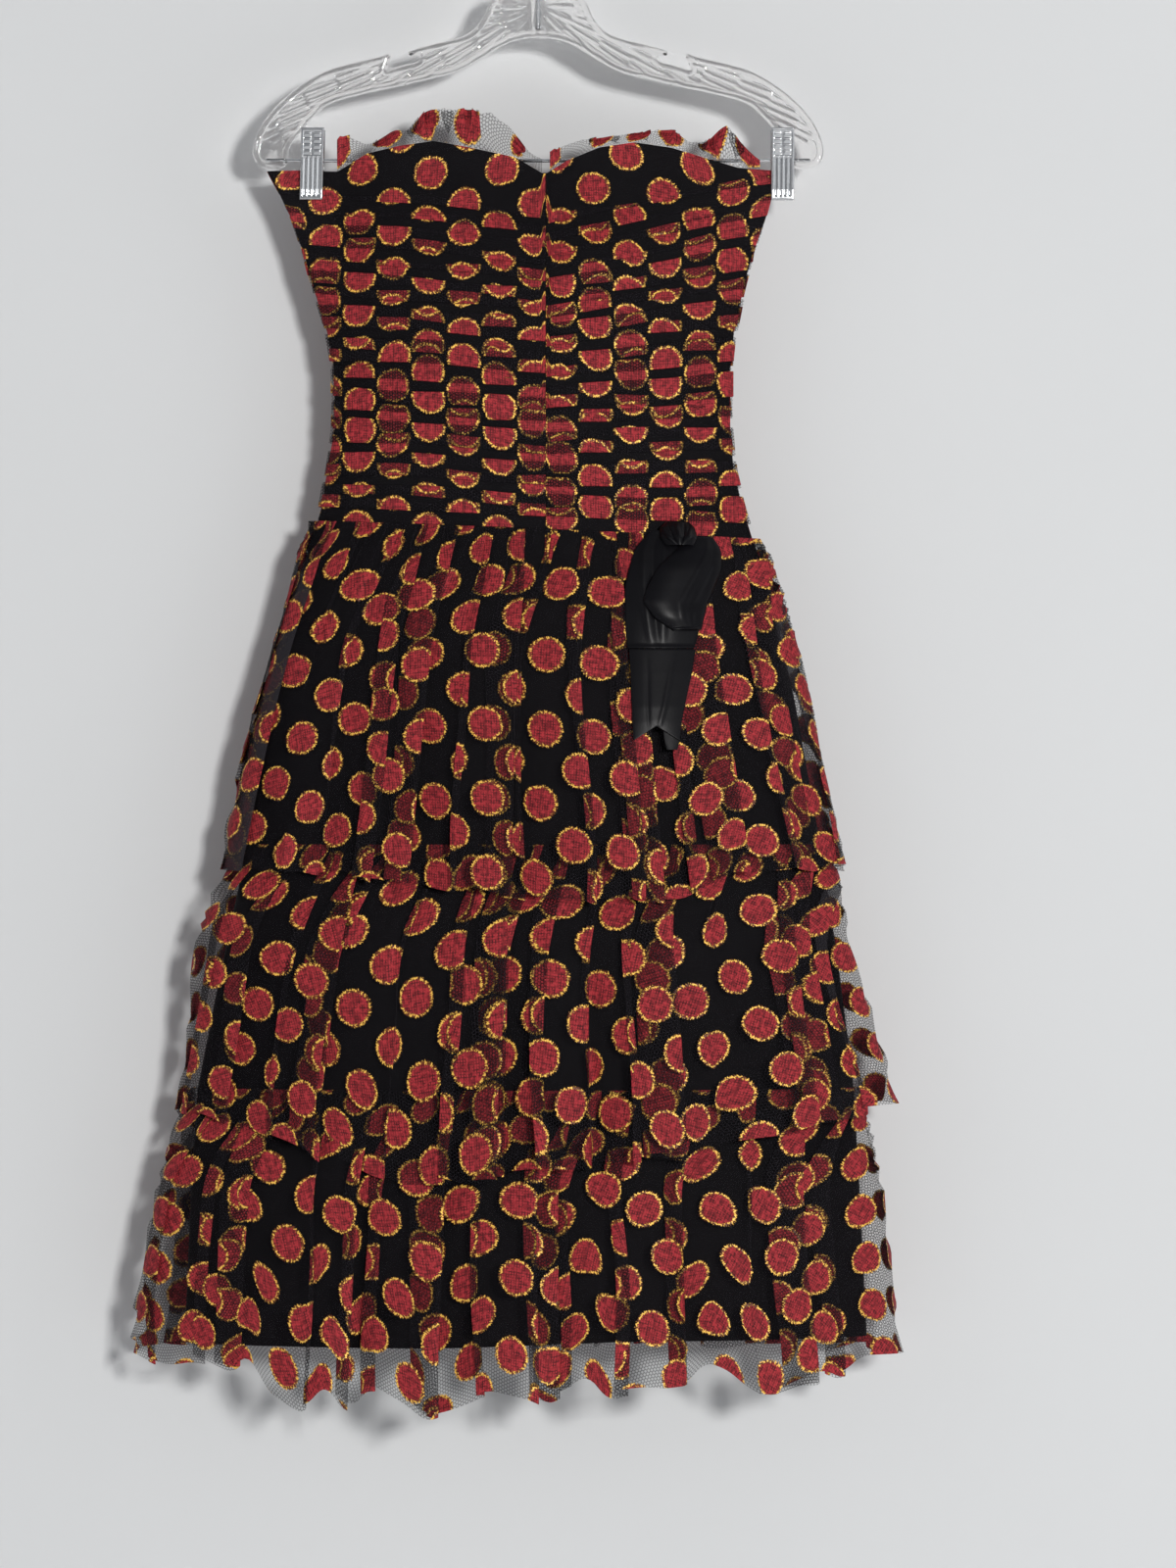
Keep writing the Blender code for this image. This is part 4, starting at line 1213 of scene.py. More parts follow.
@dataclass(frozen=True)
class Frill:
    """Net frill that stands on a front panel's neckline, in front of the bar."""

    name: str
    heights: Array
    finish: Material
    waves: float
    seed: int
    columns: int = 500
    rows: int = 24
    lean: float = 0.15
    curl: float = 8.5 * MM
    depth: float = 5.4 * MM
    crinkles: float = 3.4 * MM
    gap: float = 0.3 * MM
    weave: float = 13 * MM
    uneven: Pair = (0.75, 0.6)
    ends: float = 9.0
    quick_waves: float = 3.1
    softened: float = 4 * MM
    rise_uneven: Pair = (0.05, 0.035)
    roll: float = 1.2 * MM
    bulge: float = 3.5 * MM
    full_height: float = 27 * MM
    crease_reach: int = 62

    def build(self, panel: Array) -> None:
        """Makes the frill.

        The cloth stands on the neckline. Its own place along the edge is moved sideways and in depth
        by waves that grow towards the free edge, so that it doubles back on itself there. Its height
        comes from its table, smoothed, at the place it has moved to.

        Args:
            panel: The outer points of the panel that it stands on.
        """
        top = panel[0][np.argsort(panel[0][:, 0])]
        own = np.linspace(0.0, 1.0, self.columns)[None]
        up = np.linspace(0.0, 1.0, self.rows)[:, None]
        left, right = self.heights[0, 0], self.heights[-1, 0]
        theta = TAU * (self.waves * own + 0.35 * ripple(own, self.seed) + 0.08 * up)
        uneven = self.uneven[0] + self.uneven[1] * ripple(own, self.seed + 1, (2, 3, 5))
        ends = smooth(own * self.ends) * smooth((1.0 - own) * self.ends)
        grown = smooth(up * 1.1 + 0.12) * uneven * ends
        quick = TAU * (self.quick_waves * self.waves * own + 0.5 * ripple(own, self.seed + 2))
        crinkle = smooth(up * 1.2 - 0.1) * (0.6 + 0.6 * ripple(own, self.seed + 3)) * ends
        crinkle = crinkle * self.crinkles * np.cos(quick)
        x = left + (right - left) * own + self.curl * grown * np.cos(theta) + crinkle
        x = np.clip(x, left, right)
        spread = np.linspace(-self.softened, self.softened, 9)
        high = np.mean([along_table(self.heights, x + move, 1) for move in spread], axis=0)
        slower, quicker = self.rise_uneven
        rise = high * up * (1.0 + slower * np.sin(theta * 0.5 + self.seed) + quicker * np.sin(quick))
        billow = self.depth * grown * np.cos(theta) + crinkle
        billow = billow + self.roll * np.sin(TAU * 3 * up + theta * 0.4) * grown
        foot_y = np.interp(x, top[:, 0], top[:, 1])
        foot_z = np.interp(x, top[:, 0], top[:, 2]) + self.gap
        bulge = self.bulge * np.sin(math.pi * up * 0.85) * high / self.full_height
        y = foot_y - rise * self.lean - bulge - billow
        points = np.stack([x, y, foot_z + rise], axis=-1)
        around = run_of(points, 1)
        u = np.broadcast_to(around[self.rows // 2][None], around.shape)
        v = run_of(points, 0).mean(axis=1)[:, None] + self.weave + 0.0 * around
        uv = np.stack([u, v], axis=-1)
        mesh = surface(f"net_{self.name}", points, uv, crease=creased(points, self.crease_reach))
        obj = piece(mesh.name, mesh, self.finish, (self.name,))
        hand = self.name.split("_")[1]
        declare_cloth(obj, uv)


# --- skirt ---

# Columns: height, left edge, right edge of the tier as seen from the front.
TOP_EDGES = table((
    (-470, -174, 164), (-484, -182, 174), (-514, -188, 186), (-544, -196, 194),
    (-603, -214, 208), (-663, -229, 220), (-726, -243, 235),
))
MIDDLE_EDGES = table((
    (-708, -226, 219), (-726, -236, 226), (-744, -248, 231), (-781, -260, 237),
    (-811, -264, 247), (-841, -266, 256), (-870, -269, 265), (-905, -276, 275),
))
BOTTOM_EDGES = table((
    (-892, -262, 243), (-905, -270, 248), (-930, -281, 255), (-989, -295, 266),
    (-1048, -308, 272), (-1092, -312, 281),
))
# Columns: distance along X, height of the hem in front.
TOP_HEM = table((
    (-300, -726), (-243, -726), (-170, -729), (-125, -733), (-60, -740), (-7, -748), (50, -749),
    (112, -748), (149, -726), (232, -726), (300, -726),
))
MIDDLE_HEM = table((
    (-300, -905), (-275, -907), (-185, -930), (-111, -959), (-51, -959), (-7, -948), (68, -944),
    (112, -938), (150, -930), (186, -922), (240, -910), (273, -904), (300, -904),
))
BOTTOM_HEM = table((
    (-320, -1090), (-303, -1093), (-289, -1100), (-259, -1094), (-229, -1099), (-214, -1088),
    (-200, -1112), (-170, -1129), (-155, -1111), (-140, -1128), (-125, -1111), (-96, -1122),
    (-81, -1133), (-66, -1130), (-51, -1123), (-36, -1113), (-7, -1116), (8, -1123),
    (38, -1101), (53, -1118), (82, -1109), (112, -1111), (127, -1092), (142, -1098),
    (157, -1113), (171, -1120), (201, -1109), (216, -1103), (231, -1107), (246, -1093),
    (275, -1091), (300, -1091),
))


@dataclass(frozen=True)
class Tier:
    """A gathered flounce of net: fine gathers at its seam open into folds that lean over."""

    name: str
    top: float
    flare_front: float
    flare_back: float
    shift: float
    edges: Array
    hem: Array
    seed: int
    hollow: Hollow
    finish: Material
    rests_on: str
    columns: int = 1500
    rows: int = 44
    wall: float = 1.2 * MM
    clear: float = 0.5 * MM
    large_folds: int = 12
    fold_share: float = 0.42
    flare_power: float = 0.9
    lean: float = 15 * MM
    small_folds: int = 33
    small_depth: float = 3.9 * MM
    small_lean: float = 16.5 * MM
    gathers: int = 92
    gather_depth: float = 2.3 * MM
    gather_lean: float = 5.0 * MM
    pattern_blur: int = 6
    slow_waves: int = 22
    hem_drop: float = 3.5 * MM
    hem_step: float = 2.2 * MM
    hem_takes_over: float = 3.0
    hem_softened: float = 5 * MM
    ring_of_width: float = 2.15
    drift: Pair = (0.20, 0.12)
    wander: Pair = (0.9, 0.08)
    uneven: Pair = (0.84, 0.50)
    begins: Pair = (0.02, 0.07)
    opens: float = 0.32
    gather_wander: float = 0.7
    gather_fade: float = 2.6
    gather_uneven: Pair = (0.78, 0.3)
    cocked: float = 0.25
    large_opens: float = 2.6
    side_calm: float = 0.75
    seam_lap: float = 0.3 * MM
    seam_stand: float = 1.6 * MM
    least_gap: float = 0.4 * MM
    waist_tiers_above: float = -500 * MM

    def front_hem(self, x: Array, turn: Array) -> Array:
        """Height of the hem: as its table says in front, and level behind."""
        in_front = np.clip(-np.sin(turn) * self.hem_takes_over, 0.0, 1.0)
        spread = np.linspace(-self.hem_softened, self.hem_softened, 5)
        height = np.mean([along_table(self.hem, x + move, 1) for move in spread], axis=0)
        return self.hem[0, 1] + (height - self.hem[0, 1]) * in_front

    def flare(self, turn: Array, share: Array) -> Array:
        """How far the tier flares, in front and behind: its most, times the share down to a power."""
        most = np.where(np.sin(turn) > 0, self.flare_back, self.flare_front)
        return most * share**self.flare_power

    def stand(self, turn: Array, share: Array, z: Array) -> Array:
        """How far the smooth form stands off the hollow.

        At the two sides it follows the tier's edges, in front and behind it is the flare, and between
        them it goes over by the squared cosine.

        Args:
            turn: Angles round the section.
            share: Share of the way down.
            z: Heights.

        Returns:
            Distances in metres.
        """
        level = np.maximum(z, LINING_HEM)
        right = along_table(self.edges, z, 2) - self.hollow.edge(level, True)
        left = self.hollow.edge(level, False) - along_table(self.edges, z, 1)
        sides = np.where(np.cos(turn) > 0, right, left) - self.wall
        sideways = np.cos(turn) ** 2
        front = self.wall + self.clear + self.flare(turn, share)
        return sides * sideways + front * (1.0 - sideways)

    def points(self) -> Array:
        """The tier's surface.

        The cloth's own place along the ring is moved round it by the folds' lean and out from it by
        their depth. A lean goes with the cosine less one, so each ridge keeps its place while the
        cloth behind it is drawn under: where that is steep the cloth doubles back on itself.

        Returns:
            Points, rows down the cloth by columns round it, from the centre back and back to it.
        """
        own = np.linspace(0.25, 1.25, self.columns)[None]
        share = np.linspace(0.0, 1.0, self.rows)[:, None]
        near = self.top + (self.hem[0, 1] - self.top) * share
        width = along_table(self.edges, near, 2) - along_table(self.edges, near, 1)
        drift = self.drift[0] * np.sin(TAU * (3 * own + self.shift))
        drift = drift + self.drift[1] * np.sin(TAU * (5 * own + 2 * self.shift))
        large = TAU * (self.large_folds * own + drift + self.shift)
        wander = self.wander[0] * ripple(own, self.seed)
        wander = wander + self.wander[1] * ripple(own, self.seed + 1) * share
        small = TAU * (self.small_folds * own + wander)
        uneven = self.uneven[0] + self.uneven[1] * ripple(own, self.seed + 2, (8, 13, 19, 25))
        begins = self.begins[0] + self.begins[1] * np.abs(ripple(own, self.seed + 3, (7, 13, 19)))
        grown = smooth((share + 0.1) / (begins + self.opens)) * uneven
        fine = TAU * (self.gathers * own + self.gather_wander * ripple(own, self.seed + 4))
        fading = self.gather_uneven[1] * ripple(own, self.seed + 5, (13, 19, 29))
        fading = (1.0 - share) ** self.gather_fade * (self.gather_uneven[0] + fading)
        cocked = small + self.cocked * np.sin(TAU * (5 * own + 1.1 * share) + self.seed)

        moved = self.lean * smooth(share * self.large_opens) * uneven * (np.cos(large) - 1.0)
        moved = moved + self.small_lean * grown * (np.cos(cocked) - 1.0)
        moved = moved + self.gather_lean * fading * np.cos(fine)
        turn = self.hollow.even_turn(own + moved / (self.ring_of_width * width))

        z = np.full((self.rows, self.columns), self.top)
        for _ in range(ROUNDS):
            x, _, nx, _ = self.hollow.section(turn, np.maximum(z, LINING_HEM))
            out = self.stand(turn, share, z)
            start = np.full_like(x, self.top)
            if self.top > self.waist_tiers_above:
                start = self.hollow.waist(x) - self.seam_lap
            z = start + (self.front_hem(x + nx * out, turn) - start) * share
        x, y, nx, ny = self.hollow.section(turn, np.maximum(z, LINING_HEM))
        facing = 1.0 - self.side_calm * np.cos(turn) ** 2
        folds = self.fold_share * self.flare(turn, share) * np.cos(large)
        folds = folds + self.small_depth * grown * np.cos(cocked)
        folds = folds + self.gather_depth * fading * np.cos(fine)
        gathered = self.seam_stand * (1.0 - share)
        off = self.stand(turn, share, z) + gathered + folds * facing
        off = np.maximum(off, self.wall + self.least_gap)
        sag = self.hem_drop * ripple(own, self.seed + 6, (17, 29, 43, 61))
        sag = (sag - self.hem_step * np.cos(cocked) * grown) * share**2
        return np.stack([x + nx * off, y + ny * off, z + sag], axis=-1)

    def pattern(self, points: Array) -> Array:
        """Flat pattern of the tier: a sector of a ring.

        Its inner and outer arcs are as long as the top and the hem, its width is the cloth's length
        down, and each point lies at its share of its own row's length, blurred over a few rows.
        The slow waves of that share are the same in all rows, so the weave hangs plumb.

        Args:
            points: The tier's surface.

        Returns:
            Places on the flat cloth, rows by columns by 2.
        """
        around = run_of(points, 1)
        down = run_of(points, 0).mean(axis=1)
        top, hem, deep = around[0, -1], around[-1, -1], down[-1]
        angle = max((hem - top) / deep, 0.1)
        inner = top / angle
        share = around / around[:, -1:]
        own = np.linspace(0.0, 1.0, self.columns)
        waves = np.fft.rfft((share - own)[:, :-1], axis=1)
        slow = slice(0, self.slow_waves)
        waves[:, slow] = waves[:, slow].mean(axis=0)
        drift = np.fft.irfft(waves, n=self.columns - 1, axis=1)
        share = own + np.concatenate([drift, drift[:, :1]], axis=1)
        padded = np.pad(share, ((self.pattern_blur, self.pattern_blur), (0, 0)), mode="edge")
        blurred = [padded[n : n + self.rows] for n in range(2 * self.pattern_blur + 1)]
        turn = angle * (np.mean(blurred, axis=0) - 0.5)
        radius = inner + down[:, None]
        return np.stack([radius * np.sin(turn), -radius * np.cos(turn)], axis=-1)

    def build(self) -> None:
        """Makes the tier."""
        points = self.points()
        uv = self.pattern(points)
        crease = creased(points, self.columns // self.small_folds)
        mesh = surface(self.name, points, uv, crease=crease)
        obj = piece(f"net_{self.name}", mesh, self.finish, (self.name,))
        declare_cloth(obj, uv)


@dataclass(frozen=True)
class Skirt:
    """The black underskirt and the three tiers over it."""

    hollow: Hollow
    finishes: Finishes
    lining_wall: float = 1.0 * MM
    lining_columns: int = 361
    lining_rows: int = 60
    lining_folds: int = 17
    lining_seed: int = 41
    lining_depth: float = 0.7
    hem_droop: float = 5 * MM
    seam_lap: float = 0.3 * MM

    def lining(self) -> Object:
        """Makes the underskirt.

        Each point is the hollow's point at its turn and height, moved in and out a little by soft
        folds that grow downwards.

        Returns:
            The object.
        """
        own = np.linspace(0.25, 1.25, self.lining_columns)[None]
        share = np.linspace(0.0, 1.0, self.lining_rows)[:, None]
        turn = self.hollow.even_turn(own)
        x, _, _, _ = self.hollow.section(turn, np.full_like(turn, self.hollow.waist_height))
        start = self.hollow.waist(x) - self.seam_lap
        hem = LINING_HEM - self.hem_droop * smooth(0.5 - 1.4 * np.cos(turn)) * (np.sin(turn) < 0)
        z = start + (hem - start) * share
        x, y, nx, ny = self.hollow.section(np.broadcast_to(turn, z.shape), z)
        folds = 0.5 + 0.5 * np.sin(TAU * (self.lining_folds * own + ripple(own, self.lining_seed)))
        out = self.lining_wall * (1.0 - self.lining_depth * folds * share)
        points = np.stack([x + nx * out, y + ny * out, z], axis=-1)
        around, down = run_of(points, 1), run_of(points, 0).mean(axis=1)
        uv = np.stack([around, np.broadcast_to(-down[:, None], around.shape)], axis=-1)
        mesh = surface("lining", points, uv)
        obj = piece("lining_skirt", mesh, self.finishes.lining, ("lining",))
        declare_cloth(obj, uv)
        return obj

    def build(self) -> None:
        """Makes the lining and the tiers."""
        lining = self.lining()
        # Columns: name, top, flare in front and behind in millimetres, shift, edges, hem, seed.
        tiers = (
            ("tier_top", -470, 26, 16, 0.15, TOP_EDGES, TOP_HEM, 11),
            ("tier_middle", -708, 30, 18, 0.55, MIDDLE_EDGES, MIDDLE_HEM, 23),
            ("tier_bottom", -892, 34, 20, 0.8, BOTTOM_EDGES, BOTTOM_HEM, 37),
        )
        for name, top, front, back, *own in tiers:
            sizes = (top * MM, front * MM, back * MM)
            Tier(name, *sizes, *own, self.hollow, self.finishes.net, lining.name).build()


# --- flower ---


@dataclass(frozen=True)
class Petal:
    """One cut piece of the satin flower.

    The rows' columns are: height, left edge, right edge, lift of the left edge, lift of the right
    edge, swell of the middle. A crease is where it starts across the piece, its slant, and its height
    in millimetres.
    """

    name: str
    rows: Array
    notch: float = 0.0
    creases: tuple[Place, ...] = ()
    roll: float = 0.0


FLOWER = (
    Petal(
        "flower_tail_back",
        table((
            (-622, 94, 107, 0.5, 0.5, 0.5), (-630, 95, 106, 0.5, 0.5, 0.5),
            (-637, 97, 104, 0.5, 0.5, 0.5),
        )),
    ),
    Petal(
        "flower_tail_front",
        table((
            (-561.4, 69, 118, 0.6, 0.6, 3.5), (-580, 70, 115, 1.2, 1.2, 3),
            (-605, 71, 109.5, 2.6, 2.6, 2.5), (-618, 71.5, 107, 3, 3, 2),
            (-630, 72, 106, 3, 3, 1.5),
        )),
        notch=11 * MM,
        creases=((0.3, 0.1, -0.5), (0.62, -0.16, 0.6)),
    ),
    Petal(
        "flower_petal_under",
        table((
            (-472, 86, 104, 0.5, 0.5, 0.6), (-477, 81, 120, 0.5, 0.5, 1.5),
            (-486, 73.5, 124, 0.5, 0.5, 4), (-500, 69.5, 125, 0.5, 0.5, 6),
            (-515, 66, 124, 0.5, 0.5, 6.5), (-533, 66, 122, 0.5, 0.5, 6.5),
            (-550, 66.5, 120, 0.5, 0.5, 5.5), (-561, 68, 117, 0.5, 0.5, 4),
        )),
        creases=((0.2, 0.35, 1.5), (0.33, 0.28, -1.4), (0.47, 0.16, 1.1), (0.6, -0.1, -0.6)),
        roll=1.1 * MM,
    ),
    Petal(
        "flower_petal_over",
        table((
            (-477, 116, 131, 4, 0.6, 1), (-486, 106, 137, 7, 0.6, 4), (-500, 91, 138, 9, 0.6, 7),
            (-515, 83, 132, 9, 0.6, 8), (-526, 79.5, 127, 9, 0.8, 8),
            (-538, 89, 124, 9.4, 2.8, 6), (-547, 103, 122, 8.6, 3, 3),
        )),
        creases=((0.62, -0.2, 0.9), (0.8, -0.12, -0.7)),
        roll=1.3 * MM,
    ),
    Petal(
        "flower_knot",
        table((
            (-466, 97, 113, 0.6, 0.6, 5), (-470, 93, 117, 3, 3, 6), (-477, 93, 119, 5, 7.6, 7),
            (-483, 97, 116, 6.4, 10, 5),
        )),
        creases=(
            (0.14, 0.5, 1.5), (0.3, 0.3, -1.7), (0.5, 0.05, 1.6), (0.68, -0.2, -1.7),
            (0.86, -0.45, 1.4),
        ),
    ),
)
# Columns: height, how far the back of the flower's pieces stands off the hollow there.
FLOWER_SEAT = table((
    (-466, 5.76), (-470, 6.40), (-477, 7.77), (-486, 9.04), (-500, 10.08), (-515, 11.25),
    (-533, 14.21), (-550, 15.85), (-561.4, 17.20), (-580, 19.90), (-605, 22.60), (-622, 23.88),
    (-637, 25.16),
))


@dataclass(frozen=True)
class Flower:
    """Satin flower at the waist: a knot, two petals and two tails."""

    hollow: Hollow
    finish: Material
    columns: int = 48
    rows: int = 52
    wall: float = 1.3 * MM
    crown: float = 0.7
    crease_width: float = 0.045
    roll_share: float = 0.045
    rounding: float = 0.45 * MM

    def points(self, petal: Petal) -> Array:
        """The back surface of one piece.

        Edges, lift and swell come from the petal's table, smoothed. The middle swells forward by the
        sine of the share across to a power, and each crease adds a soft ridge or trough along a
        slanted line: e to the minus square of the distance from it. The foot rolls forward.

        Args:
            petal: The piece.

        Returns:
            Points, rows by columns by 3.
        """
        down = np.linspace(0.0, 1.0, self.rows)
        at = np.linspace(0.0, 1.0, len(petal.rows))
        size = np.stack([np.interp(down, at, column) for column in petal.rows.T], axis=1)
        kernel = np.array([1.0, 2.0, 3.0, 2.0, 1.0]) / 9.0
        padded = np.concatenate([size[:1] * 2 - size[2:0:-1], size, size[-1:] * 2 - size[-2:-4:-1]])
        size = np.stack([np.convolve(column, kernel, "valid") for column in padded.T], axis=1)
        height, left, right, lift_left, lift_right, swell = size.T[..., None]
        share = np.linspace(0.0, 1.0, self.columns)[None]
        x = left + (right - left) * share
        down = down[:, None]
        z = height + petal.notch * (1.0 - np.abs(2 * share - 1.0)) * down**4
        _, hollow_y, _, _ = self.hollow.section(self.hollow.turn_at(x, z, True), z)
        lift = lift_left + (lift_right - lift_left) * share
        out = along_table(FLOWER_SEAT, z, 1) + lift + swell * np.sin(math.pi * share) ** self.crown
        for start, slant, depth in petal.creases:
            off = (share - start - slant * (down - 0.5)) / self.crease_width
            out = out + depth * MM * np.exp(-(off**2)) * np.sin(math.pi * np.clip(down, 0.03, 1))
        out = out + petal.roll * smooth(1.0 - (1.0 - down) / self.roll_share)
        return np.stack([x, hollow_y - out, z], axis=-1)

    def build(self) -> None:
        """Makes each piece, a wall thick, with its edges rounded over."""
        for petal in FLOWER:
            points = self.points(petal)
            run, fall = run_of(points, 1), run_of(points, 0).mean(axis=1)
            uv = np.stack([run, np.broadcast_to(-fall[:, None], run.shape)], axis=-1)
            mesh = surface(petal.name, points, uv)
            obj = piece(f"satin_{petal.name}", mesh, self.finish, (petal.name,))
            wall = obj.modifiers.new("wall", "SOLIDIFY")
            wall.thickness = self.wall
            wall.offset = 1.0
            rounded = obj.modifiers.new("rounded", "BEVEL")
            rounded.width = self.rounding
            rounded.segments = 2
            rounded.limit_method = "ANGLE"
            declare_cloth(obj, uv)


# --- hanger ---


@dataclass(frozen=True)
class Hanger:
    """Clear hanger with a sunburst cut into its face, its wire hook and its bar."""

    finishes: Finishes
    hub: Pair = (0.0, -74 * MM)
    pitch: float = 1.35 * MM
    half: float = 5.0 * MM
    field: float = 3.1 * MM
    rim: float = 3.4 * MM
    rim_slope: float = 1.2 * MM
    edge: float = 1.3 * MM
    rays: float = 5.2 * MM
    ring: float = 27 * MM
    ray_height: float = 1.85 * MM
    hook_wire: float = 1.75 * MM
    hook_inner: float = 19 * MM
    bar_radius: float = 1.4 * MM
    bar_height: float = -190.5 * MM
    bar_half: float = 205 * MM
    edge_least: float = 0.35
    ray_power: float = 1.4
    ray_turn: float = 2.1
    plain_beyond: float = 186 * MM
    plain_below: float = -176 * MM
    boss_half: float = 4.2 * MM
    boss_foot: float = -93 * MM
    boss_height: float = 2 * MM
    inset: float = 0.5 * MM
    stem_foot: float = -90 * MM
    hook_turn: Pair = (205.0, -28.0)

    # Right half of the outline, from the top of the neck round to the middle of the arch.
    OUTLINE = (
        (8, -57), (20, -59), (30, -63), (36, -69), (42, -84), (50, -93), (60, -98), (82, -103),
        (98, -107.5), (98, -111.5), (90, -111), (90, -116), (104, -118.5), (116, -123), (115, -119),
        (110, -109), (121, -112.5), (130, -114.5), (145, -118), (161, -122.5), (177, -131.5),
        (192, -143), (205, -156.5), (213, -170), (216.5, -182), (215, -191), (208, -197),
        (190, -197), (189, -181), (183, -173), (176, -164), (167.5, -154.5), (159, -147.5),
        (145, -143), (124, -138), (106, -134.5), (88, -130), (67.5, -125.5), (56, -121), (46, -115),
        (34, -107.5), (21.5, -100.5), (8, -97.5),
    )

    def outline(self) -> Array:
        """The whole outline, closed, with its corners cut twice to a quarter and resampled."""
        right = np.array(self.OUTLINE) * MM
        line = np.concatenate([right, right[::-1] * np.array([-1.0, 1.0])])
        for _ in range(2):
            ahead = np.roll(line, -1, axis=0)
            cut = [line * 0.75 + ahead * 0.25, line * 0.25 + ahead * 0.75]
            line = np.stack(cut, axis=1).reshape(-1, 2)
        return line

    @staticmethod
    def inside(points: Array, line: Array) -> Array:
        """True for each point inside the line: a ray to the right crosses it an odd number of times.

        Args:
            points: Points in X and Z, n by 2.
            line: The line's corners.

        Returns:
            One truth for each point.
        """
        start, end = line[None], np.roll(line, -1, axis=0)[None]
        px, pz = points[:, None, 0], points[:, None, 1]
        spans = (start[..., 1] > pz) != (end[..., 1] > pz)
        run, rise = np.moveaxis(end - start, -1, 0)
        rise = np.where(np.abs(rise) < TINY, TINY, rise)
        at = start[..., 0] + (pz - start[..., 1]) / rise * run
        return (spans & (px < at)).sum(axis=1) % 2 == 1

    @staticmethod
    def distance(points: Array, line: Array) -> Array:
        """Distance of each point from the closed line: the least over its stretches.

        Args:
            points: Points in X and Z, n by 2.
            line: The line's corners.

        Returns:
            One distance for each point.
        """
        start = line[None]
        step = (np.roll(line, -1, axis=0) - line)[None]
        to = points[:, None] - start
        length = np.maximum((step**2).sum(axis=2), TINY)
        share = np.clip((to * step).sum(axis=2) / length, 0.0, 1.0)[..., None]
        return np.sqrt(((to - share * step) ** 2).sum(axis=2)).min(axis=1)

    def depth(self, points: Array, distance: Array) -> Array:
        """Half the thickness at each point.

        A rounded edge, a rim, a slope down to a lower field, and on the field rings of rays round the
        hub: a ray is a cosine of the angle, as many as the ring's length holds, and each ring fades
        at both its ends. A boss stands round the hook's stem.

        Args:
            points: Places in X and Z.
            distance: How far each lies from the outline.

        Returns:
            Half thicknesses in metres.
        """
        round_over = np.sqrt(np.clip(1.0 - (1.0 - distance / self.edge) ** 2, 0.0, 1.0))
        rounded = self.half * (self.edge_least + (1.0 - self.edge_least) * round_over)
        half = np.where(distance < self.edge, rounded, self.half)
        sunk = smooth((distance - self.rim) / self.rim_slope)
        x, z = points[:, 0] - self.hub[0], points[:, 1] - self.hub[1]
        radius, angle = np.hypot(x, z), np.arctan2(z, np.abs(x))
        ring = np.floor(radius / self.ring)
        count = np.round(TAU * (ring + 0.5) * self.ring / self.rays)
        share = radius / self.ring - ring
        ray = np.maximum(np.cos(angle * count + ring * self.ray_turn), 0.0) ** self.ray_power
        ray = ray * np.sin(math.pi * share) ** 0.5 * np.where(ring < 1, smooth(share * 2 - 0.3), 1.0)
        beside, height = np.abs(points[:, 0]), points[:, 1]
        plain = smooth((beside - self.plain_beyond) / (4 * MM)) * (height < self.plain_below)
        field = self.field + self.ray_height * ray * (1.0 - plain)
        half = half * (1.0 - sunk) + np.minimum(field, half) * sunk
        boss = smooth((self.boss_half - beside) / (1.0 * MM))
        boss = boss * smooth((height - self.boss_foot) / (2 * MM))
        return np.maximum(half, boss * np.minimum(self.half * 0.96, half + self.boss_height))

    def body(self) -> None:
        """Makes the moulded body: the outline filled with fine triangles, raised both ways.

        The places fill a slanted grid inside the outline and are joined as a Delaunay net. The front
        stands out by the depth, the back mirrors it, and a narrow wall joins them at the outline.
        """
        line = self.outline()
        low, high = line.min(0), line.max(0)
        rows = np.arange(low[1], high[1], self.pitch * 0.87)
        columns = np.arange(low[0], high[0], self.pitch)
        x, z = np.meshgrid(columns, rows)
        x = x + (np.arange(len(rows)) % 2)[:, None] * self.pitch / 2
        points = np.stack([x.ravel(), z.ravel()], axis=1)
        points = points[self.inside(points, line)]
        points = points[self.distance(points, line) > self.inset]
        places = [Vector(p) for p in np.concatenate([line, points])]
        found = delaunay_2d_cdt(places, [], [list(range(len(line)))], 1, 1e-7)
        flat = np.array([tuple(p) for p in found[0]])
        faces = np.array(found[2])
        half = self.depth(flat, self.distance(flat, line))
        count = len(flat)
        front = np.stack([flat[:, 0], -half, flat[:, 1]], axis=1)
        back = np.stack([flat[:, 0], half, flat[:, 1]], axis=1)
        corners = flat[faces]
        first, second = corners[:, 1] - corners[:, 0], corners[:, 2] - corners[:, 0]
        turned = (first[:, 0] * second[:, 1] - first[:, 1] * second[:, 0]) < 0
        faces[turned] = faces[turned][:, ::-1]
        edges = np.concatenate([faces[:, [0, 1]], faces[:, [1, 2]], faces[:, [2, 0]]])
        keys = edges[:, 0] * count + edges[:, 1]
        border = edges[~np.isin(keys, edges[:, 1] * count + edges[:, 0])]
        start, end = border.T
        wall = np.stack([end, start, start + count, end + count], axis=1)
        mesh = bpy.data.meshes.new("hanger_body")
        polygons = faces.tolist() + (faces[:, ::-1] + count).tolist() + wall.tolist()
        mesh.from_pydata(np.concatenate([front, back]), [], polygons)
        mesh.shade_smooth()
        piece("clear_hanger", mesh, self.finishes.plastic, ("hanger_body",))

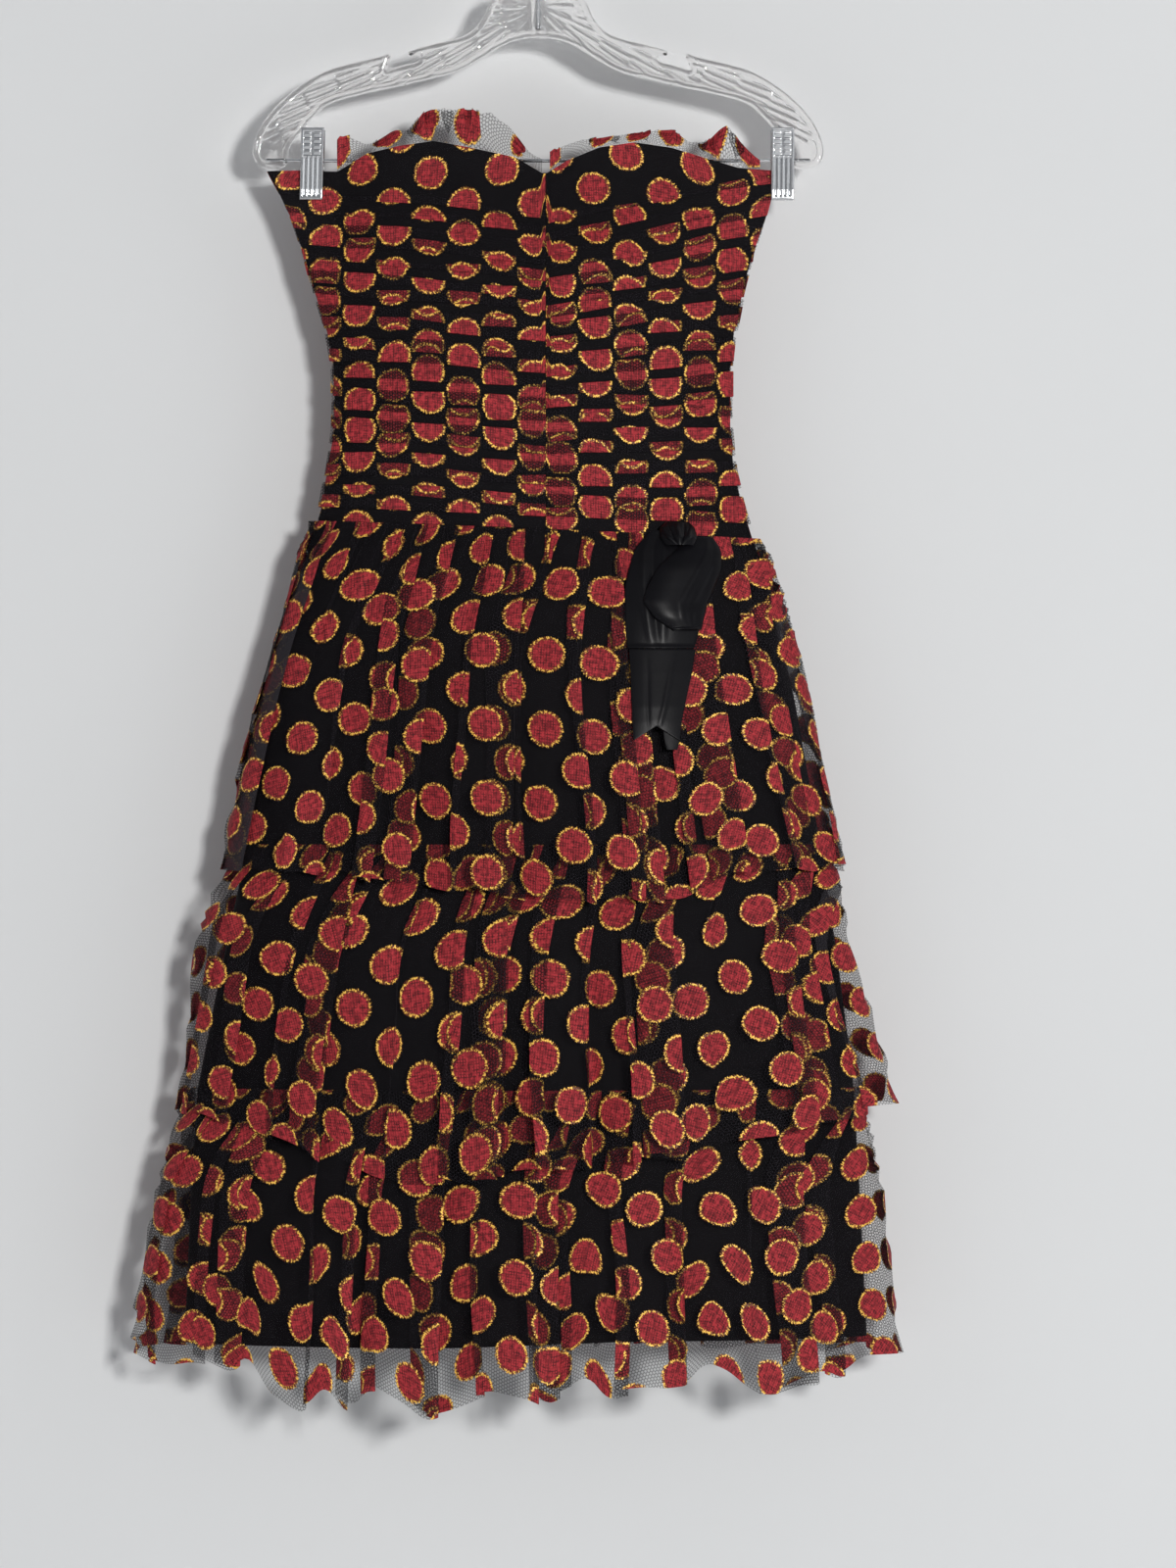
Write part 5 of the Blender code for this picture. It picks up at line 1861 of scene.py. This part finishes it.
    def hook(self) -> None:
        """Makes the wire hook: round over the rail, an easy bend back, and a straight stem."""
        radius = self.hook_inner + self.hook_wire
        middle = -self.hook_inner
        angle = np.radians(np.linspace(*self.hook_turn, 90))
        bend = np.stack([radius * np.cos(angle), 0 * angle, middle + radius * np.sin(angle)], axis=1)
        top = middle - radius - 9 * MM
        pull = np.array([bend[-1, 0] * 0.55, 0.0, middle - radius * 0.95])
        t = np.linspace(0.0, 1.0, 26)[1:, None]
        ease = (1 - t) ** 2 * bend[-1] + 2 * t * (1 - t) * pull + t**2 * np.array([0.0, 0.0, top])
        down = np.linspace(top - 1 * MM, self.stem_foot, 12)
        stem = np.stack([0 * down, 0 * down, down], axis=1)
        mesh = tube("hook", np.concatenate([bend, ease, stem]), self.hook_wire, 24)
        piece("wire_hook", mesh, self.finishes.steel, ("hook",))

    def build(self) -> None:
        """Makes the body, the hook and the bar."""
        self.body()
        self.hook()
        x = np.linspace(-self.bar_half, self.bar_half, 60)
        path = np.stack([x, 0 * x, np.full_like(x, self.bar_height)], axis=1)
        mesh = tube("bar", path, self.bar_radius)
        piece("wire_bar", mesh, self.finishes.steel, ("bar",))


# --- clips ---


@dataclass(frozen=True)
class Clips:
    """Two pressed-steel clips, each of two plates with dimples above and grooves below."""

    finish: Material
    plate: float = 1.4 * MM
    jaw: float = 8 * MM
    jaw_open: float = 0.5 * MM
    columns: int = 60
    rows: int = 112
    groove_depth: float = 0.75 * MM
    dimple_height: float = 0.7 * MM
    edge: float = 0.9 * MM
    leans: Pair = (0.03, 0.0)
    patterned: float = 7.0 * MM
    grooves: int = 4
    grooves_width: float = 14 * MM
    grooves_foot: float = 2.5 * MM
    grooves_top: float = -188 * MM
    grooves_end: float = 1.2 * MM
    blocks: int = 4
    blocks_foot: float = -187 * MM
    block_pitch: float = 4.5 * MM
    block_middle: float = 3.7 * MM
    block_half: float = 3.0 * MM

    def relief(self, u: Array, z: Array) -> Array:
        """Height of the pressed pattern on a plate's face.

        Above, two columns of four rounded blocks: smooth steps in both directions. Below, four
        grooves: a raised cosine across, ended by smooth steps. The plate's edge is rounded over.

        Args:
            u: Distance across from the plate's middle.
            z: Heights.

        Returns:
            Heights of the relief, in metres, up to 0.
        """
        half = CLIP_WIDTH / 2
        from_edge = np.minimum(half - np.abs(u), np.minimum(CLIP_TOP - z, z - CLIP_FOOT))
        over = 1.0 - np.clip(from_edge / self.edge, 0, 1)
        rounded = -self.edge * (1.0 - np.sqrt(1.0 - over**2))
        across = 0.5 - 0.5 * np.cos(TAU * self.grooves * (u / self.grooves_width + 0.5))
        inside = smooth((self.patterned - np.abs(u)) / (0.5 * MM))
        length = smooth((z - CLIP_FOOT - self.grooves_foot) / self.grooves_end)
        length = length * smooth((self.grooves_top - z) / self.grooves_end)
        grooves = -self.groove_depth * across**1.5 * inside * length
        row = (z - self.blocks_foot) / self.block_pitch
        block_z = smooth(3.2 * (0.5 - np.abs(row - np.floor(row) - 0.5)))
        block_u = smooth((self.block_half - np.abs(np.abs(u) - self.block_middle)) / (0.8 * MM))
        upper = (row > 0) & (row < self.blocks)
        blocks = self.dimple_height * (block_z * block_u - 1.0) * inside * upper
        return rounded + grooves + blocks

    def points(self, node: str, middle: float, side: int, lean: float) -> Array:
        """The surface of one plate, all but its plain back.

        The inner face goes straight from the foot to the knee and from there to the top, as on the
        solid. The patterned face stands a wall and the relief out from it, and the grid's first and
        last rows and columns run back over the plate's edges to the inner face.

        Args:
            node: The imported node.
            middle: The clip's middle along X.
            side: -1 in front and 1 behind.
            lean: How far the plate leans, across for each length up.

        Returns:
            Points, rows by columns by 3.
        """
        low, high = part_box(node)
        foot = -high.y if side < 0 else low.y
        top = (-low.y if side < 0 else high.y) - self.plate
        z = np.linspace(CLIP_FOOT, CLIP_TOP, self.rows)[::-1, None]
        u = np.linspace(-CLIP_WIDTH / 2, CLIP_WIDTH / 2, self.columns)[None]
        knee = CLIP_FOOT + self.jaw
        heights = (CLIP_FOOT, knee, CLIP_TOP)
        inner = np.interp(z, heights, (foot, foot + self.jaw_open, top))
        x = middle + u + lean * (z - (CLIP_TOP + CLIP_FOOT) / 2)
        outer = inner + self.plate + self.relief(u, z)
        face = np.stack([x, side * outer, z + 0 * u], axis=-1)
        back = np.stack([x, side * (inner + 0 * u), z + 0 * u], axis=-1)
        points = np.concatenate([back[:1], face, back[-1:]])
        ends = np.concatenate([back[:1], back, back[-1:]])
        return np.concatenate([ends[:, :1], points, ends[:, -1:]], axis=1)

    def build(self) -> None:
        """Makes the four plates. Each follows its solid: shut at the foot, open at the top."""
        for middle, hand, lean in zip(CLIP_X, ("left", "right"), self.leans):
            for side, face in ((-1, "front"), (1, "back")):
                node = f"clip_{hand}_{face}"
                mesh = surface(node, self.points(node, middle, side, lean))
                piece(f"steel_{node}", mesh, self.finish, (node,))
                self.close(mesh)

    @staticmethod
    def close(mesh: Mesh) -> None:
        """Welds the plate's corners and closes its plain back with one face.

        Args:
            mesh: The plate's mesh.
        """
        built = bmesh.new()
        built.from_mesh(mesh)
        bmesh.ops.remove_doubles(built, verts=built.verts, dist=1e-6)
        edges = [edge for edge in built.edges if edge.is_boundary]
        bmesh.ops.holes_fill(built, edges=edges)
        bmesh.ops.recalc_face_normals(built, faces=built.faces)
        built.to_mesh(mesh)
        built.free()


# --- zip ---


@dataclass(frozen=True)
class Zip:
    """Closed zip in the centre back seam: its coil on a tape, and the pull tab of its slider."""

    hollow: Hollow
    finishes: Finishes
    seam: float = -4 * MM
    top: float = -200 * MM
    half_width: float = 2.4 * MM
    tooth: float = 1.3 * MM
    wall: float = 1.2 * MM
    rows: int = 1250
    columns: int = 17
    tape: float = 0.35
    teeth_reach: float = 1.35
    tooth_power: float = 0.7
    tab_points: int = 96
    tab_section: int = 20
    tab_square: float = 0.45
    edge_square: Pair = (0.35, 0.6)
    window: Pair = (1.3 * MM, 2.7 * MM)
    window_drop: float = 3.95 * MM

    def coil(self) -> None:
        """Makes the coil and its tape.

        Two rows of teeth side by side: on each half the relief is a raised cosine along the zip, half
        a pitch out of step, times an arch across that half.
        """
        bottom = float(self.hollow.waist(np.array(self.seam)))
        z = np.linspace(self.top, bottom, self.rows)[:, None]
        u = np.linspace(-1.0, 1.0, self.columns)[None]
        behind = along_table(HOLLOW, z, 4)
        step = np.where(u < 0, 0.0, 0.5)
        teeth = (0.5 + 0.5 * np.cos(TAU * (z / self.tooth + step))) ** self.tooth_power
        arch = np.sin(math.pi * np.clip(np.abs(u) * self.teeth_reach, 0, 1))
        arch = arch * (np.abs(u) < 1 / self.teeth_reach)
        out = self.wall * (self.tape + (1.0 - self.tape) * teeth * arch)
        points = np.stack([self.seam + self.half_width * u + 0 * z, behind + out, z + 0 * u], axis=-1)
        piece("zip_coil", surface("zip", points), self.finishes.nylon, ("zip_teeth",))

    @staticmethod
    def squared(wave: Array, power: float) -> Array:
        """A sine or cosine raised to a power with its sign kept, which squares up the circle."""
        return np.sign(wave) * np.abs(wave) ** power

    def tab(self) -> None:
        """Makes the pull tab: a ring from its window to its outline, rounded across its thickness.

        The outline and the window are rounded oblongs: a circle raised to a power in each direction.
        Each point lies between them by the cosine of the angle round the ring's section.
        """
        low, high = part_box("zip_pull_tab")
        middle, size = (low + high) / 2, (high - low) / 2
        angle = np.arange(self.tab_points + 1)[:, None] % self.tab_points / self.tab_points * TAU
        section = np.arange(self.tab_section)[None] / self.tab_section * TAU
        wide = self.squared(np.cos(angle), self.tab_square)
        tall = self.squared(np.sin(angle), self.tab_square)
        outer_x, outer_z = size.x * wide, middle.z + size.z * tall
        inner_x, inner_z = self.window[0] * wide, high.z - self.window_drop + self.window[1] * tall
        share = 0.5 + 0.5 * self.squared(np.cos(section), self.edge_square[0])
        thick = size.y * self.squared(np.sin(section), self.edge_square[1])
        x = middle.x + inner_x + (outer_x - inner_x) * share
        z = inner_z + (outer_z - inner_z) * share
        points = np.stack([x, middle.y + thick + 0 * angle, z], axis=-1)
        x, z = middle.x + (inner_x + outer_x) / 2, (inner_z + outer_z) / 2
        core = np.stack([x, middle.y + 0 * angle, z], axis=-1)
        mesh = surface("zip_tab", points, within=core, wrap=True)
        finish = self.finishes.zip_metal
        piece("enamel_zip_tab", mesh, finish, ("zip_pull_tab",), Body.ZIP_PULL)

    def build(self) -> None:
        """Makes the coil and the tab."""
        self.coil()
        self.tab()


# --- studio ---


@dataclass(frozen=True)
class Lamp:
    """A square soft light: where it stands, the length of its side, its watts and its tint."""

    name: str
    at: Place
    size: float
    power: float
    tint: Colour


LAMPS = (
    Lamp("key", (1.4, -6.0, 0.0), 0.5, 236.0, (1.0, 0.985, 0.965)),
    Lamp("fill_right", (2.6, -2.0, -0.2), 1.8, 9.0, (0.97, 0.985, 1.0)),
    Lamp("fill_left", (-2.4, -2.4, 0.1), 1.8, 5.5, (1.0, 0.99, 0.98)),
    Lamp("behind", (0.6, 2.8, 0.8), 1.6, 30.0, (1.0, 1.0, 1.0)),
)


@dataclass(frozen=True)
class Studio:
    """Pale wall and floor, soft lights, and the camera at the photograph's angle."""

    wall_y: float = 78 * MM
    floor_z: float = -1.62
    centre: Pair = (37.8 * MM, -662.5 * MM)
    frame_height: float = 1187.2 * MM
    camera_distance: float = 5.0
    sensor: float = 36.0
    clip: Pair = (0.1, 50.0)
    far: float = 4.0
    wall_top: float = 2.0
    wall_colour: Colour = (0.70, 0.715, 0.725)
    floor_colour: Colour = (0.78, 0.78, 0.79)
    target: Place = (0.0, 0.0, -0.6)
    air_colour: Colour = (0.93, 0.95, 1.0)
    air_strength: float = 0.21

    def finish(self, name: str, colour: Colour, see_through_back: bool) -> Material:
        """A pale matt finish for the wall or the floor.

        Args:
            name: The material's name.
            colour: Its colour.
            see_through_back: True if it is clear from behind.

        Returns:
            The material.
        """
        g = Graph(name)
        place = g.place()
        g.set(Base_Color=g.blend(g.noise(place, 0.25), colour, times(colour, 0.97)), Roughness=0.9)
        g.bump(g.noise(place, 4 * MM, 3.0), 0.1 * MM, 0.15)
        if see_through_back:
            behind = g.node("ShaderNodeNewGeometry").outputs["Backfacing"]
            g.set(Alpha=g.math("SUBTRACT", 1.0, behind))
        return g.material

    def sheet(self, name: str, corners: list[Place], finish: Material) -> Object:
        """A flat sheet of the studio through four corners."""
        mesh = bpy.data.meshes.new(name)
        mesh.from_pydata(corners, [], [(0, 1, 2, 3)])
        mesh.materials.append(finish)
        obj = placed(name, mesh)
        return obj

    def light(self, lamp: Lamp) -> None:
        """Makes a lamp that points at the dress's middle."""
        data = bpy.data.lights.new(lamp.name, "AREA")
        data.size = lamp.size
        data.energy = lamp.power
        data.color = lamp.tint
        obj = placed(lamp.name, data)
        obj.location = lamp.at
        obj.rotation_mode = "QUATERNION"
        aim = Vector(self.target) - Vector(lamp.at)
        obj.rotation_quaternion = aim.to_track_quat("-Z", "Y")

    def room(self) -> None:
        """Makes the wall and the floor."""
        far, wall, foot, top = self.far, self.wall_y, self.floor_z, self.wall_top
        upright = [(-far, wall, foot), (far, wall, foot), (far, wall, top), (-far, wall, top)]
        level = [(-far, -far, foot), (far, -far, foot), (far, far, foot), (-far, far, foot)]
        backdrop = self.sheet("studio_wall", upright, self.finish("wall", self.wall_colour, True))
        backdrop.visible_shadow = False
        self.sheet("studio_floor", level, self.finish("floor", self.floor_colour, False))

    def air(self) -> None:
        """Makes the pale air round the dress, and shows colours as they are."""
        world = bpy.data.worlds.new("studio_air")
        world.use_nodes = True
        background = world.node_tree.nodes["Background"]
        background.inputs["Color"].default_value = (*self.air_colour, 1.0)
        background.inputs["Strength"].default_value = self.air_strength
        bpy.context.scene.world = world
        bpy.context.scene.view_settings.view_transform = "Standard"

    def camera(self) -> None:
        """Makes the camera: level, in front of the photograph's centre, as wide as its frame."""
        data = bpy.data.cameras.new("camera")
        data.sensor_width = self.sensor
        data.lens = self.sensor * self.camera_distance / self.frame_height
        data.clip_start, data.clip_end = self.clip
        camera = placed("camera", data)
        camera.location = (self.centre[0], -self.camera_distance, self.centre[1])
        camera.rotation_euler = (math.pi / 2, 0.0, 0.0)
        bpy.context.scene.camera = camera

    def build(self) -> None:
        """Makes the wall, the floor, the lights, the world and the camera."""
        self.room()
        for lamp in LAMPS:
            self.light(lamp)
        self.air()
        self.camera()


# --- the whole ---


def carry_over(frame: dict, finishes: Finishes) -> None:
    """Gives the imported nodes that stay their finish.

    Args:
        frame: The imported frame.
        finishes: The materials.
    """
    kept = {
        "clip_left_sleeve": finishes.steel,
        "clip_right_sleeve": finishes.steel,
        "zip_slider": finishes.zip_metal,
    }
    for node, finish in kept.items():
        obj = frame["nodes"][node]
        for place in obj.material_slots:
            place.material = finish
        LOG.info("%s: finished as packed", node)


def main() -> None:
    """Builds the looks of every sub-assembly in order."""
    logging.basicConfig(level=logging.INFO, format="%(name)s %(message)s")
    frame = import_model()
    hollow = Hollow()
    finishes = Finishes.make()
    panels = Bodice(hollow, finishes).build()
    Frill("frill_left", FRILL_LEFT, finishes.net, 6.0, 51).build(panels["bodice_front_left"])
    Frill("frill_right", FRILL_RIGHT, finishes.net, 7.0, 67).build(panels["bodice_front_right"])
    Skirt(hollow, finishes).build()
    Flower(hollow, finishes.satin).build()
    Zip(hollow, finishes).build()
    Hanger(finishes).build()
    Clips(finishes.steel).build()
    carry_over(frame, finishes)
    Studio().build()
    bpy.context.view_layer.update()


if __name__ == "__main__":
    main()
